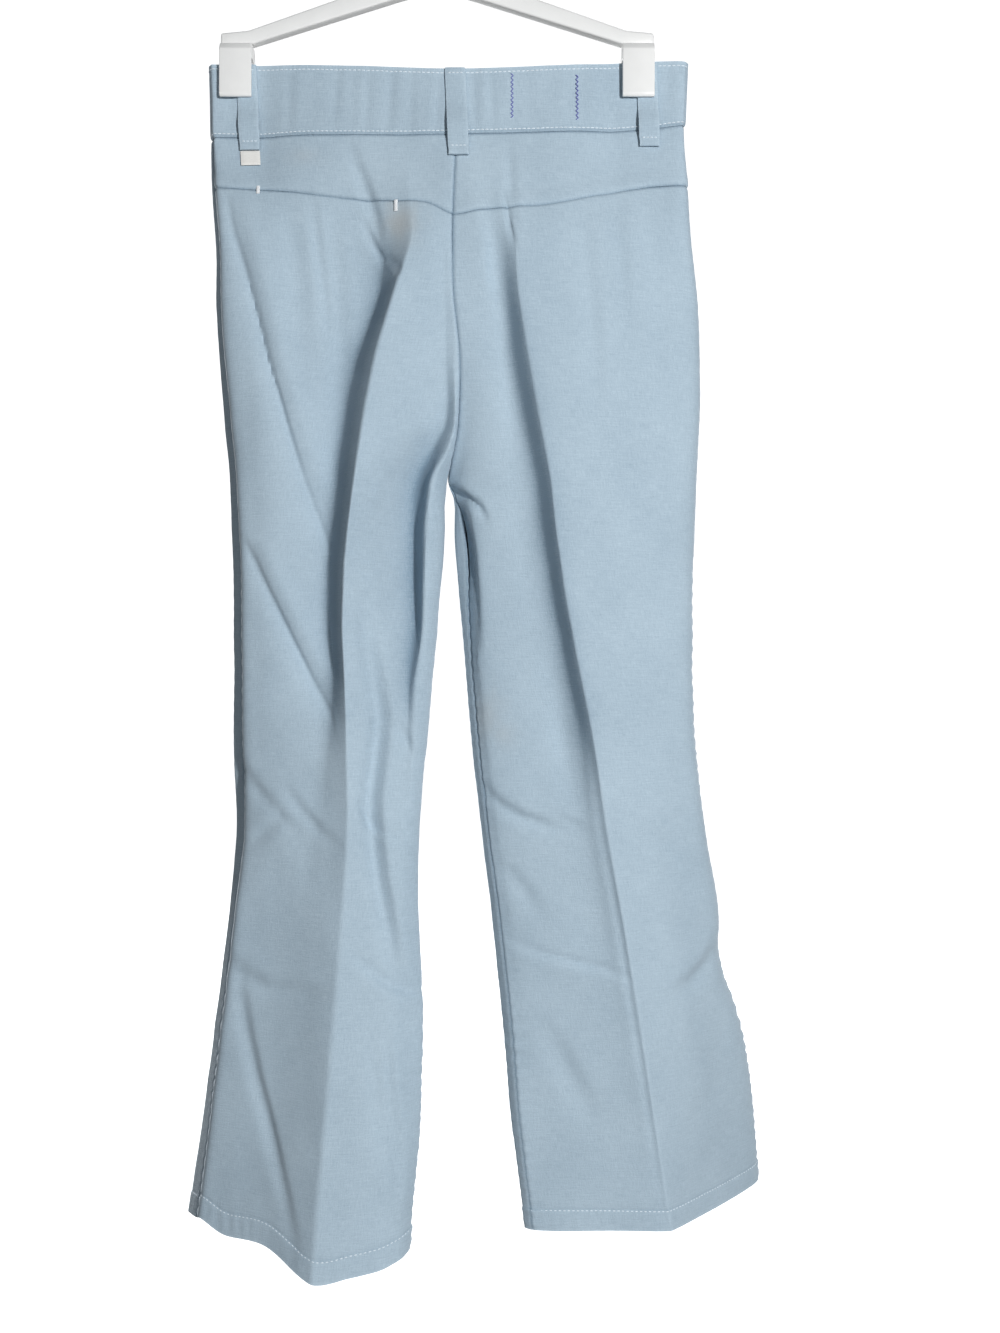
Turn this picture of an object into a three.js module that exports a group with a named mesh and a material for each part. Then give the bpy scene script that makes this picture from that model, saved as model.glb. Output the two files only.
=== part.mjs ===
// Flared trousers hanging from a moulded clip hanger, seen from the back.
// Millimetres, +Z up, +X to the right when the back of the trousers faces you, -Y towards you.
// The origin is where the hanger's hook bears on a rail.
//
// The cloth is four surfaces, back and front of each leg. Each is drawn by guide lines that run from the
// waist to the hem: side seam, hip, pressed crease, folds, inner seam. A table row is one level section,
// and gives for each guide how far across it lies (x) and how far towards the back (b).
import * as THREE from "three";

const WAIST_BELOW_HOOK = 120;
const MIDDLE_RIGHT_OF_HOOK = 6;
const SEAM_GAP = 0.3;
const CROTCH_DROP = 301;
const SIDE_TURN = { inward: 3.5, riseAtWaist: 5, riseBelow: 15 };

const CLOTH = { wall: 1.5, hemWall: 2.2, hemDepth: 15 };
const BAND = { wall: 2.6, proud: 0.8, gatherDepth: 1.1, gatherWidth: 3.5 };
const CLIP = {
  left: -150, right: 138, width: 23, grip: 25, jaw: 3, roof: 5, headroom: 9, gap: 0.3, bevel: 1,
  cloth: 3.3, reach: 24, fadeFrom: 30, fadeTo: 125,
};
const LOOP = { width: 14.5, wall: 1.9, gap: 0.3, standOff: 2.6, pinnedTo: 30, stitchedFoot: 3 };
const FLY = { top: 56, foot: 196, edge: 3.2, width: 36, wall: 1.1, curveFrom: 0.62, curveReach: 0.4, tip: 0.17 };
const BUTTON = {
  x: -6, drop: 27, sides: 28,
  profile: [[0, 0], [6, 0], [8.2, 0.8], [8.5, 1.8], [7.8, 3], [5.6, 3.1], [4.8, 2.4], [0, 2.3]],
};
const TAB = { width: 14, wall: 1.1, gap: 0.9, run: [[63.5, -139.5], [69, -139], [75, -138.5]] };
const HOOK = { bend: 20, wire: 3, stemFoot: -52, tipAngle: -25, neckAngle: 232, steps: 14, sweep: 4 };
const BAR = {
  hubHalf: 13, hubFoot: 5, shoulder: 14, shoulderDrop: 5, thick: 8, height: 11, endAboveWaist: 14.5, endTaper: 20,
};

const COLOURS = { cloth: 0xa9bac8, hanger: 0xf1f1ee, button: 0xc9d3da, tab: 0xf0efec };

// The lines where two panels meet, each drawn once: rows of [drop below the waist, x, b].
const SEAMS = {
  sideLeft: [
    [-5, -170, 0], [50, -168, 0], [90, -166, 2], [130, -163, 3], [170, -161, 3], [215, -158, 3],
    [260, -154, 2], [301, -151, 1], [340, -149, 0], [400, -148, -2], [475, -148, -6], [550, -148, -12],
    [610, -155, -12], [680, -164, -15], [760, -173, -16], [843, -183, -14],
  ],
  sideRight: [
    [-5, 174, 0], [50, 172, 0], [90, 175, -1], [130, 178, -2], [170, 182, -4], [215, 184, -6],
    [260, 184, -8], [301, 182, -10], [340, 181, -12], [400, 180, -14], [475, 182, -20], [550, 191, -30],
    [610, 202.5, -44], [645, 206, -54], [668, 211, -61], [688, 219.5, -67], [711, 226.5, -75], [760, 237, -90],
    [843, 248, -112],
  ],
  centreBack: [
    [-5, 7, 9], [50, 8, 16], [90, 7, 24], [130, 6, 28], [170, 7, 30], [215, 11, 28], [260, 10, 20],
    [285, 5, 13], [301, 1, 2],
  ],
  centreFront: [
    [-5, 4, -9], [50, 4, -15], [90, 4, -21], [130, 4, -25], [170, 4, -27], [215, 4, -25], [260, 3, -17],
    [301, 1, 2],
  ],
  inseamLeft: [
    [301, 1, 2], [340, -4, -1], [400, -9, -4], [475, -15, -5], [550, -21, -4], [610, -22, -1],
    [680, -17.5, 3], [760, -19, 9], [843, -24.5, 13],
  ],
  inseamRight: [
    [301, 1, 2], [320, 10, 2], [345, 14, 3], [400, 16, 4], [475, 22, 3], [550, 30, 1], [610, 38, 0],
    [680, 46, -2], [760, 53, -6], [843, 62.5, -11],
  ],
};

// Each panel names its guides in order from the viewer's left to right. Its first and last are seams, and a
// "turn" guide is worked out. A row is [drop, x and b of each guide in between].
const BACK_LEFT = {
  outward: -1,
  turnsAt: "start",
  start: ["sideLeft"],
  end: ["centreBack", "inseamLeft"],
  guides: ["side", "turn", "hip", "valley", "crease", "trough", "fold", "lip", "inner", "seam"],
  round: [0.5, 0.3, 0.5, 0.22, 0.08, 0.5, 0.3, 0.35, 0.5, 0.5],
  steps: [1, 3, 3, 2, 2, 2, 1, 1, 1],
  hem: [835, 829, 837, 838, 854, 851, 848, 845, 843, 843],
  sections: [
    [-5, -135, 6, -60, 8, -29, 9, -14, 9, 0, 9, 3, 9, 5, 9],
    [50, -135, 11, -60, 15, -28, 15, -14, 16, 0, 16, 3, 16, 5, 16],
    [90, -133, 17, -58, 19, -26, 24, -13, 24, -1, 25, 2, 25, 5, 25],
    [130, -128, 21, -52, 15, -23, 33, -10, 34, 0, 31, 3, 30, 5, 29],
    [150, -126, 23, -48, 12, -27, 37, -11, 35, 0, 31, 3, 31, 5, 30],
    [170, -123, 24, -49, 10, -33, 41, -12, 36, 0, 31, 3, 31, 5, 31],
    [215, -120, 26, -65, 10, -46, 43, -22, 36, 0, 27, 6, 29, 8, 29],
    [260, -119, 27, -74, 11, -55, 43, -33, 33, -1, 16, 7, 27, 9, 24],
    [280, -118, 27, -77, 11, -58, 44, -39, 33, -13, 8, 2, 27, 6, 20],
    [301, -118, 25, -79, 12, -61, 45, -45, 32, -22, 4, -9, 27, -1, 14],
    [340, -118, 23, -82, 12, -66, 44, -52, 31, -25, 3, -15, 27, 1, 13],
    [400, -118, 20, -84, 12, -70, 40, -54, 29, -24, 8, -16, 25, -4, 11],
    [440, -118, 18, -81, 14, -69, 37, -52, 27, -26, 15, -20, 23, -8, 10],
    [475, -117, 18, -83, 20, -68, 34, -49, 25, -27, 18, -21, 21, -11, 10],
    [550, -120, 14, -92, 21, -67, 33, -49, 26, -30, 22, -24, 18, -18, 10],
    [610, -128, 10, -104, 19, -71, 34, -44, 27, -31, 23, -25, 18, -18, 10],
    [680, -139, 7, -116, 17, -76, 38, -42, 32, -33, 28, -24, 21, -15, 13],
    [760, -150, 7, -121, 20, -83, 44, -52, 41, -37, 36, -25, 27, -17, 18],
    [843, -160, 8, -126, 26, -89, 49, -62, 46, -43, 42, -30, 32, -24, 20],
  ],
};

const BACK_RIGHT = {
  outward: -1,
  turnsAt: "end",
  start: ["centreBack", "inseamRight"],
  end: ["sideRight"],
  guides: ["seam", "flat", "valley", "crease", "outer", "hip", "turn", "side"],
  round: [0.5, 0.5, 0.35, 0.07, 0.5, 0.5, 0.5, 0.5],
  steps: [2, 3, 2, 3, 3, 2, 1],
  hem: [843, 843, 844, 845, 844, 843, 842, 842],
  sections: [
    [-5, 15, 9, 25, 9, 39, 9, 88, 8, 138, 6],
    [50, 17, 16, 28, 16, 39, 15, 90, 13, 138, 9],
    [90, 19, 25, 30, 24, 39, 24, 95, 20, 144, 12],
    [130, 21, 30, 38, 28, 49, 32, 98, 26, 150, 16],
    [170, 23, 29, 41, 25, 52, 36, 102, 29, 154, 18],
    [215, 27, 28, 45, 23, 59, 38, 108, 30, 157, 18],
    [260, 29, 26, 53, 22, 67, 39, 112, 30, 158, 17],
    [301, 19, 22, 61, 21, 74, 39, 115, 29, 157, 16],
    [320, 20, 21, 63, 20, 76, 39, 117, 29, 157, 16],
    [345, 22, 20, 67, 19, 79, 38, 118, 28, 156, 15],
    [400, 25, 18, 76, 16, 88, 34, 125, 24, 156, 12],
    [475, 33, 14, 91, 12, 103, 28, 136, 18, 160, 6],
    [550, 43, 10, 98, 11, 115, 21, 145, 11, 168, -2],
    [610, 52, 7, 108, 8, 126, 16, 156, 3, 178, -13],
    [680, 62, 2, 118, 4, 138, 9, 169, -7, 192, -28],
    [760, 76, -5, 131, -4, 151, -1, 180, -22, 206, -48],
    [843, 106, -10, 146, -12, 164, -15, 190, -39, 216, -66],
  ],
};

const FRONT_LEFT = {
  outward: 1,
  start: ["sideLeft"],
  end: ["centreFront", "inseamLeft"],
  guides: ["side", "outline", "hip", "crease", "inner", "centre"],
  round: [0.5, 0.5, 0.5, 0.08, 0.5, 0.5],
  steps: [2, 3, 3, 3, 3],
  hem: [835, 843, 842, 838, 840, 843],
  sections: [
    [-5, -171, -5, -135, -6, -85, -8, -35, -9],
    [50, -171, -7, -134, -10, -85, -14, -35, -15],
    [90, -171, -8, -133, -15, -86, -20, -36, -21],
    [130, -170, -9, -132, -20, -88, -27, -38, -26],
    [170, -169, -9, -130, -23, -88, -32, -38, -29],
    [215, -167, -10, -128, -25, -88, -36, -38, -29],
    [260, -164, -10, -126, -27, -88, -40, -38, -29],
    [301, -161, -11, -125, -28, -88, -43, -40, -27],
    [340, -160, -11, -124, -29, -88, -46, -42, -26],
    [400, -159, -13, -123, -31, -88, -49, -44, -27],
    [475, -160, -17, -124, -35, -90, -53, -50, -30],
    [550, -160, -23, -126, -41, -94, -58, -56, -32],
    [610, -165, -30, -131, -48, -99, -63, -60, -33],
    [680, -176, -40, -141, -57, -107, -69, -62, -34],
    [760, -188, -49, -150, -66, -115, -77, -68, -34],
    [843, -202, -54, -158, -72, -122, -84, -75, -34],
  ],
};

const FRONT_RIGHT = {
  outward: 1,
  turnsAt: "end",
  start: ["centreFront", "inseamRight"],
  end: ["sideRight"],
  guides: ["centre", "inner", "middle", "crease", "hip", "turn", "side"],
  round: [0.5, 0.5, 0.5, 0.08, 0.5, 0.5, 0.5],
  steps: [2, 3, 3, 3, 2, 1],
  hem: [843, 843, 840, 838, 840, 842, 842],
  sections: [
    [-5, 14, -9, 50, -9, 90, -8, 138, -6],
    [50, 14, -15, 50, -15, 90, -14, 138, -10],
    [90, 14, -22, 50, -22, 90, -20, 142, -15],
    [130, 14, -26, 50, -27, 92, -27, 146, -19],
    [170, 14, -28, 50, -30, 93, -32, 149, -23],
    [215, 14, -27, 50, -31, 94, -37, 151, -26],
    [260, 13, -23, 48, -31, 95, -41, 151, -29],
    [301, 7, -10, 44, -30, 95, -45, 149, -32],
    [340, 2, -8, 42, -31, 96, -47, 149, -34],
    [400, 8, -8, 46, -33, 98, -49, 150, -37],
    [475, 14, -10, 54, -35, 104, -53, 153, -43],
    [550, 22, -12, 62, -38, 110, -59, 160, -53],
    [610, 29, -13, 70, -42, 116, -66, 169, -64],
    [680, 36, -15, 79, -48, 121, -75, 180, -80],
    [760, 43, -18, 88, -57, 127, -87, 192, -98],
    [843, 53, -20, 98, -66, 132, -99, 202, -114],
  ],
};

// Where the back waistband's top edge, its lower seam and the yoke seam run: [x, drop].
const TOP_EDGE = [[-172, 0], [-60, 4], [7, 6.5], [75, 3.5], [140, -1.5], [176, -2]];
const BAND_SEAM = [[-172, 52], [-60, 55], [7, 55], [75, 52], [140, 47], [176, 43]];
const YOKE_SEAM = [[-166, 90], [-117, 95], [-81, 100], [-35, 105], [-13, 107], [6, 115],
  [25, 112], [74, 107], [110, 98], [146, 90], [176, 88]];

// The elastic's soft gathers across the back band: [x, depth share].
const GATHERS = [[-112, 0.4], [-78, 0.6], [-55, 0.5], [-39, 1.0], [-24, 0.6], [-5, 0.6], [20, 0.6],
  [33, 0.5], [60, 0.6], [98, 0.4]];

// The largest drag folds: a trough along a run of [x, drop] points, with a ridge on its right.
const DRAG_FOLDS = [
  {
    panel: BACK_LEFT, depth: 2.8, width: 8,
    run: [[-155, 98], [-140, 153], [-125, 214], [-107, 277], [-90, 327], [-81, 352]],
  },
  {
    panel: BACK_LEFT, depth: 2.6, width: 8,
    run: [[-142, 343], [-127, 375], [-111, 408], [-95, 441], [-80, 470]],
  },
];

const mix = (a, b, t) => a + (b - a) * t;
const ease = (low, high, value) => THREE.MathUtils.smoothstep(value, low, high);

// A smooth curve through [place, value] rows, straight beyond both ends.
function along(places, values, place) {
  const last = places.length - 1;
  const slope = (i) => {
    const from = Math.max(i - 1, 0);
    const to = Math.min(i + 1, last);
    return (values[to] - values[from]) / (places[to] - places[from]);
  };
  if (place <= places[0]) return values[0] + slope(0) * (place - places[0]);
  if (place >= places[last]) return values[last] + slope(last) * (place - places[last]);
  const i = places.findIndex((p) => p > place) - 1;
  const span = places[i + 1] - places[i];
  const t = (place - places[i]) / span;
  const s = 1 - t;
  return values[i] * (1 + 2 * t) * s * s + slope(i) * span * t * s * s
    + values[i + 1] * (1 + 2 * s) * t * t - slope(i + 1) * span * s * t * t;
}

const onLine = (line, x) => along(line.map((p) => p[0]), line.map((p) => p[1]), x);

// A seam's [x, b] point. A list of two is the seam above the crotch and the one below it.
function seamPoint([upper, lower], drop) {
  const rows = SEAMS[lower && drop > CROTCH_DROP ? lower : upper];
  const levels = rows.map((row) => row[0]);
  return [1, 2].map((k) => along(levels, rows.map((row) => row[k]), drop));
}

// The guides of one level section as [x, b] points. Beside a side seam the "turn" guide is worked out, so
// that the cloth rounds that edge and front and back stay a wall apart.
function section(panel, drop) {
  panel.levels ??= panel.sections.map((row) => row[0]);
  panel.tracks ??= panel.sections[0].map((_, column) => panel.sections.map((row) => row[column]));
  const points = [seamPoint(panel.start, drop)];
  for (let column = 1; column < panel.tracks.length; column += 2) {
    points.push([0, 1].map((k) => along(panel.levels, panel.tracks[column + k], drop)));
  }
  points.push(seamPoint(panel.end, drop));
  const rise = mix(SIDE_TURN.riseAtWaist, SIDE_TURN.riseBelow, ease(20, 130, drop));
  const turned = ([x, b], inward) => [x + inward * SIDE_TURN.inward, b - panel.outward * rise];
  if (panel.turnsAt === "start") points.splice(1, 0, turned(points[0], 1));
  if (panel.turnsAt === "end") points.splice(-1, 0, turned(points.at(-1), -1));
  return points;
}

// A point of the section: straight between guides, and rounded at each by its own share.
function sectionPoint(points, round, u) {
  const last = points.length - 1;
  const nearest = Math.round(THREE.MathUtils.clamp(u, 0, last));
  const share = round[nearest];
  const offset = u - nearest;
  const toward = (i, j, t) => [mix(points[i][0], points[j][0], t), mix(points[i][1], points[j][1], t)];
  if (nearest > 0 && nearest < last && Math.abs(offset) < share) {
    const t = (offset + share) / (2 * share);
    const before = toward(nearest, nearest - 1, share);
    const after = toward(nearest, nearest + 1, share);
    const bend = (k) => before[k] * (1 - t) ** 2 + 2 * points[nearest][k] * t * (1 - t) + after[k] * t * t;
    return [bend(0), bend(1)];
  }
  const i = Math.min(Math.floor(Math.max(u, 0)), last - 1);
  return toward(i, i + 1, u - i);
}

// How firmly the clips press front and back together here, from 0 to 1.
function pinch(x, drop) {
  const near = (clip) => Math.exp(-((Math.max(Math.abs(x - clip) - CLIP.width / 2, 0) / CLIP.reach) ** 2));
  return Math.max(near(CLIP.left), near(CLIP.right)) * (1 - ease(CLIP.fadeFrom, CLIP.fadeTo, drop));
}

function dragFold(panel, x, drop) {
  let shift = 0;
  for (const fold of DRAG_FOLDS.filter((f) => f.panel === panel)) {
    for (let i = 1; i < fold.run.length; i++) {
      const [[x0, d0], [x1, d1]] = [fold.run[i - 1], fold.run[i]];
      if (drop < d0 || drop >= d1) continue;
      const start = fold.run[0][1];
      const end = fold.run.at(-1)[1];
      const fade = Math.sin(Math.PI * (drop - start) / (end - start)) ** 0.6;
      const away = (x - mix(x0, x1, (drop - d0) / (d1 - d0))) / fold.width;
      shift += fold.depth * fade * (0.7 * Math.exp(-((away - 1.5) ** 2)) - Math.exp(-(away * away)));
    }
  }
  return shift;
}

// A point of a panel's outer face. u runs along its guides and drop down from the waist.
function surface(panel, u, drop) {
  const [x, b0] = sectionPoint(section(panel, drop), panel.round, u);
  let b = b0 + dragFold(panel, x, drop);
  const side = -panel.outward;
  if (b * side > CLIP.cloth) b = side * mix(b * side, CLIP.cloth, pinch(x, drop));
  return new THREE.Vector3(x + MIDDLE_RIGHT_OF_HOOK, -b, -WAIST_BELOW_HOOK - drop);
}

// The outward direction on one side of a point, from short steps along and down the cloth.
function faceNormal(panel, u, drop) {
  const last = panel.guides.length - 1;
  const acrossStep = surface(panel, Math.min(u + 0.06, last), drop)
    .sub(surface(panel, Math.max(u - 0.06, 0), drop));
  const downStep = surface(panel, u, drop + 2).sub(surface(panel, u, drop - 2));
  return acrossStep.cross(downStep).multiplyScalar(panel.outward).normalize();
}

// Which edge of which panel lies beside an edge, above and below the crotch.
const EDGES = new Map([
  [BACK_LEFT, { start: [[FRONT_LEFT, "start"]], end: [[BACK_RIGHT, "start"], [FRONT_LEFT, "end"]] }],
  [BACK_RIGHT, { start: [[BACK_LEFT, "end"], [FRONT_RIGHT, "start"]], end: [[FRONT_RIGHT, "end"]] }],
  [FRONT_LEFT, { start: [[BACK_LEFT, "start"]], end: [[FRONT_RIGHT, "start"], [BACK_LEFT, "end"]] }],
  [FRONT_RIGHT, { start: [[FRONT_LEFT, "end"], [BACK_RIGHT, "start"]], end: [[BACK_RIGHT, "end"]] }],
]);

// The outward direction with both sides of a seam taken together, and how much longer a mitred wall is.
function seamNormal(panel, u, drop) {
  const own = faceNormal(panel, u, drop);
  const last = panel.guides.length - 1;
  if (u > 0 && u < last) return { out: own, stretch: 1 };
  const beside = EDGES.get(panel)[u === 0 ? "start" : "end"];
  const below = beside.length > 1 ? ease(CROTCH_DROP - 12, CROTCH_DROP + 12, drop) : 0;
  const out = own.clone();
  beside.forEach(([other, end], i) => {
    const share = i === 0 ? 1 - below : below;
    out.addScaledVector(faceNormal(other, end === "start" ? 0 : other.guides.length - 1, drop), share);
  });
  out.normalize();
  return { out, stretch: 1 / Math.max(out.dot(own), 0.62) };
}

// Evenly stepped u values over a panel, or the stretch of it between two guides.
function columns(panel, steps = panel.steps) {
  const list = steps.flatMap((count, g) => Array.from({ length: count }, (_, i) => g + i / count));
  return [...list, steps.length].map((u) => ({ panel, u }));
}

function mesh(name, geometry, material) {
  const piece = new THREE.Mesh(geometry, material);
  piece.name = name;
  return piece;
}

// A closed wall from two grids of points of the same size, outer and inner.
function wallGeometry(outer, inner) {
  const rows = outer.length;
  const count = outer[0].length;
  const positions = [...outer.flat(), ...inner.flat()].flatMap((p) => [p.x, p.y, p.z]);
  const faces = [];
  const id = (layer, r, c) => layer * rows * count + r * count + c;
  const quad = (a, b, c, d) => faces.push(a, b, c, a, c, d);
  for (let r = 0; r + 1 < rows; r++) {
    for (let c = 0; c + 1 < count; c++) {
      quad(id(0, r, c), id(0, r + 1, c), id(0, r + 1, c + 1), id(0, r, c + 1));
      quad(id(1, r, c), id(1, r, c + 1), id(1, r + 1, c + 1), id(1, r + 1, c));
    }
    quad(id(0, r, 0), id(1, r, 0), id(1, r + 1, 0), id(0, r + 1, 0));
    quad(id(0, r, count - 1), id(0, r + 1, count - 1), id(1, r + 1, count - 1), id(1, r, count - 1));
  }
  for (let c = 0; c + 1 < count; c++) {
    quad(id(0, 0, c), id(0, 0, c + 1), id(1, 0, c + 1), id(1, 0, c));
    quad(id(0, rows - 1, c), id(1, rows - 1, c), id(1, rows - 1, c + 1), id(0, rows - 1, c + 1));
  }
  const geometry = new THREE.BufferGeometry();
  geometry.setAttribute("position", new THREE.Float32BufferAttribute(positions, 3));
  geometry.setIndex(signedVolume(geometry.getAttribute("position"), faces) > 0 ? faces : faces.reverse());
  geometry.computeVertexNormals();
  return geometry;
}

function signedVolume(position, faces) {
  const [a, b, c] = [new THREE.Vector3(), new THREE.Vector3(), new THREE.Vector3()];
  let total = 0;
  for (let i = 0; i < faces.length; i += 3) {
    [a, b, c].forEach((v, k) => v.fromBufferAttribute(position, faces[i + k]));
    total += a.dot(b.cross(c)) / 6;
  }
  return total;
}

// A cut piece of cloth. top and bottom give its edges' drops at a column; relief is an extra height.
function clothPiece({ cols, rows, top, bottom, wall, proud = 0, relief = () => 0 }) {
  const outer = [];
  const inner = [];
  for (let r = 0; r <= rows; r++) {
    const outerRow = [];
    const innerRow = [];
    cols.forEach(({ panel, u }, c) => {
      const drop = mix(top(panel, u), bottom(panel, u), r / rows);
      const point = surface(panel, u, drop);
      const { out, stretch } = seamNormal(panel, u, drop);
      if (c === 0 || c === cols.length - 1) {
        const inward = c === 0 ? 0.1 : -0.1;
        const step = surface(panel, u + inward, drop).sub(point).setLength(SEAM_GAP / 2);
        point.add(step);
      }
      const x = point.x - MIDDLE_RIGHT_OF_HOOK;
      const lift = proud + relief(x, drop);
      const depth = wall(drop, panel, u) - proud;
      outerRow.push(point.clone().addScaledVector(out, lift * stretch));
      innerRow.push(point.clone().addScaledVector(out, -depth * stretch));
    });
    outer.push(outerRow);
    inner.push(innerRow);
  }
  return wallGeometry(outer, inner);
}

// A seam line's drop at a column, found by its x a little way down.
const seamDrop = (line, guess) => (panel, u) => {
  const x = surface(panel, u, guess).x - MIDDLE_RIGHT_OF_HOOK;
  return onLine(line, x);
};
const topEdge = seamDrop(TOP_EDGE, 2);
const bandSeam = seamDrop(BAND_SEAM, 50);
const yokeSeam = seamDrop(YOKE_SEAM, 100);
const below = (line) => (panel, u) => line(panel, u) + SEAM_GAP;
const hem = (panel, u) => along(panel.guides.map((_, g) => g), panel.hem, u);

const legWall = (drop, panel, u) =>
  mix(CLOTH.wall, CLOTH.hemWall, ease(-3, 0, drop - (hem(panel, u) - CLOTH.hemDepth)));
const gathers = (x, drop) => GATHERS.reduce((sum, [place, share]) =>
  sum - share * BAND.gatherDepth * Math.exp(-(((x - place) / BAND.gatherWidth) ** 2)), 0)
  * Math.sin(Math.PI * THREE.MathUtils.clamp((drop - 3) / 48, 0, 1));

// The panel and u at a place x on the back or front.
function placeAt(panels, x, drop) {
  const [left, right] = panels;
  const end = surface(left, left.guides.length - 1, drop).x - MIDDLE_RIGHT_OF_HOOK;
  const panel = x < end ? left : right;
  let [low, high] = [0, panel.guides.length - 1];
  for (let i = 0; i < 30; i++) {
    const middle = (low + high) / 2;
    if (surface(panel, middle, drop).x - MIDDLE_RIGHT_OF_HOOK < x) low = middle;
    else high = middle;
  }
  return { panel, u: (low + high) / 2 };
}

const BACK = [BACK_LEFT, BACK_RIGHT];
const FRONT = [FRONT_LEFT, FRONT_RIGHT];

// A strap or patch that lies over the cloth: rows of [drop, x of its middle, height off the cloth].
function laidOn(panels, rows, width, wall, across = 3) {
  const outer = [];
  const inner = [];
  for (const [drop, middle, height, share = 1] of rows) {
    const centre = placeAt(panels, middle, drop);
    const out = faceNormal(centre.panel, centre.u, drop);
    const outerRow = [];
    const innerRow = [];
    for (let c = 0; c <= across; c++) {
      const x = middle + width * share * (c / across - 0.5);
      const { panel, u } = placeAt(panels, x, drop);
      const point = surface(panel, u, drop);
      innerRow.push(point.clone().addScaledVector(out, height));
      outerRow.push(point.clone().addScaledVector(out, height + wall));
    }
    outer.push(outerRow);
    inner.push(innerRow);
  }
  return wallGeometry(outer, inner);
}

// A belt loop over the band: flat under its stitched ends and standing off between them.
function beltLoop(panels, xTop, xBottom, topDrop, bottomDrop) {
  const rows = [];
  const count = 10;
  const offBand = BAND.proud + LOOP.gap;
  for (let i = 0; i <= count; i++) {
    const drop = mix(topDrop, bottomDrop, i / count);
    const swell = Math.sin(Math.PI * THREE.MathUtils.clamp(
      (drop - LOOP.pinnedTo) / (bottomDrop - LOOP.stitchedFoot - LOOP.pinnedTo), 0, 1)) ** 2;
    rows.push([drop, mix(xTop, xBottom, i / count), offBand + LOOP.standOff * swell]);
  }
  return laidOn(panels, rows, LOOP.width, LOOP.wall);
}

// The flap over the zip, whose free edge curves in to the front seam at its foot.
function flyFlap() {
  const rows = [];
  const count = 10;
  for (let i = 0; i <= count; i++) {
    const t = i / count;
    const curve = Math.max(t - FLY.curveFrom, 0) / FLY.curveReach;
    const share = Math.sqrt(Math.max(1 - curve ** 2, FLY.tip ** 2));
    rows.push([mix(FLY.top, FLY.foot, t), FLY.edge - FLY.width * share / 2, SEAM_GAP, share]);
  }
  return laidOn(FRONT, rows, FLY.width, FLY.wall, 4);
}

// A shank button: a dished disc turned about its own axis.
function waistButton() {
  const geometry = new THREE.LatheGeometry(BUTTON.profile.map(([r, h]) => new THREE.Vector2(r, h)), BUTTON.sides);
  const { panel, u } = placeAt(FRONT, BUTTON.x, BUTTON.drop);
  const out = faceNormal(panel, u, BUTTON.drop);
  const seat = surface(panel, u, BUTTON.drop).addScaledVector(out, BAND.proud + SEAM_GAP);
  geometry.applyQuaternion(new THREE.Quaternion().setFromUnitVectors(new THREE.Vector3(0, 1, 0), out));
  return geometry.translate(seat.x, seat.y, seat.z);
}

// The wire hook: a stem, an S-turn and a round bend whose inside bears on the rail at the origin.
function hangerHook() {
  const radius = HOOK.bend;
  const centre = -(radius - HOOK.wire);
  const points = [];
  for (let i = 0; i <= HOOK.steps; i++) {
    const angle = THREE.MathUtils.degToRad(mix(HOOK.tipAngle, HOOK.neckAngle, i / HOOK.steps));
    points.push(new THREE.Vector3(-radius * Math.cos(angle), 0, centre + radius * Math.sin(angle)));
  }
  points.push(new THREE.Vector3(HOOK.sweep, 0, centre - radius - HOOK.sweep / 2));
  points.push(new THREE.Vector3(0, 0, HOOK.stemFoot + 2 * HOOK.wire), new THREE.Vector3(0, 0, HOOK.stemFoot));
  const ring = new THREE.Shape().absarc(0, 0, HOOK.wire, 0, 2 * Math.PI);
  const path = new THREE.CatmullRomCurve3(points);
  return new THREE.ExtrudeGeometry(ring, { steps: 56, curveSegments: 5, bevelEnabled: false, extrudePath: path });
}

// Extrudes an outline drawn in x and z by a thickness about y = 0.
function plateXZ(points, thick) {
  const shape = new THREE.Shape(points.map(([x, z]) => new THREE.Vector2(x, z)));
  const geometry = new THREE.ExtrudeGeometry(shape, { depth: thick, bevelEnabled: false });
  return geometry.rotateX(Math.PI / 2).translate(0, thick / 2, 0);
}

// Two arms that slope from a hub under the hook down to the clips.
function hangerBar() {
  const end = -WAIST_BELOW_HOOK + BAR.endAboveWaist;
  const half = (CLIP.right - CLIP.left) / 2 + CLIP.width / 2;
  const top = HOOK.stemFoot - SEAM_GAP;
  const shoulder = BAR.hubHalf + BAR.shoulder;
  const side = (sign) => [
    [sign * BAR.hubHalf, top], [sign * shoulder, top - BAR.shoulderDrop],
    [sign * (half - BAR.endTaper), end + BAR.height - 1], [sign * half, end + BAR.height - 3],
    [sign * half, end], [sign * (half - CLIP.width), end],
    [sign * shoulder, top - BAR.height - 9], [sign * BAR.hubHalf, top - BAR.height - BAR.hubFoot],
  ];
  return plateXZ([...side(-1), ...side(1).reverse()], BAR.thick);
}

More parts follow.
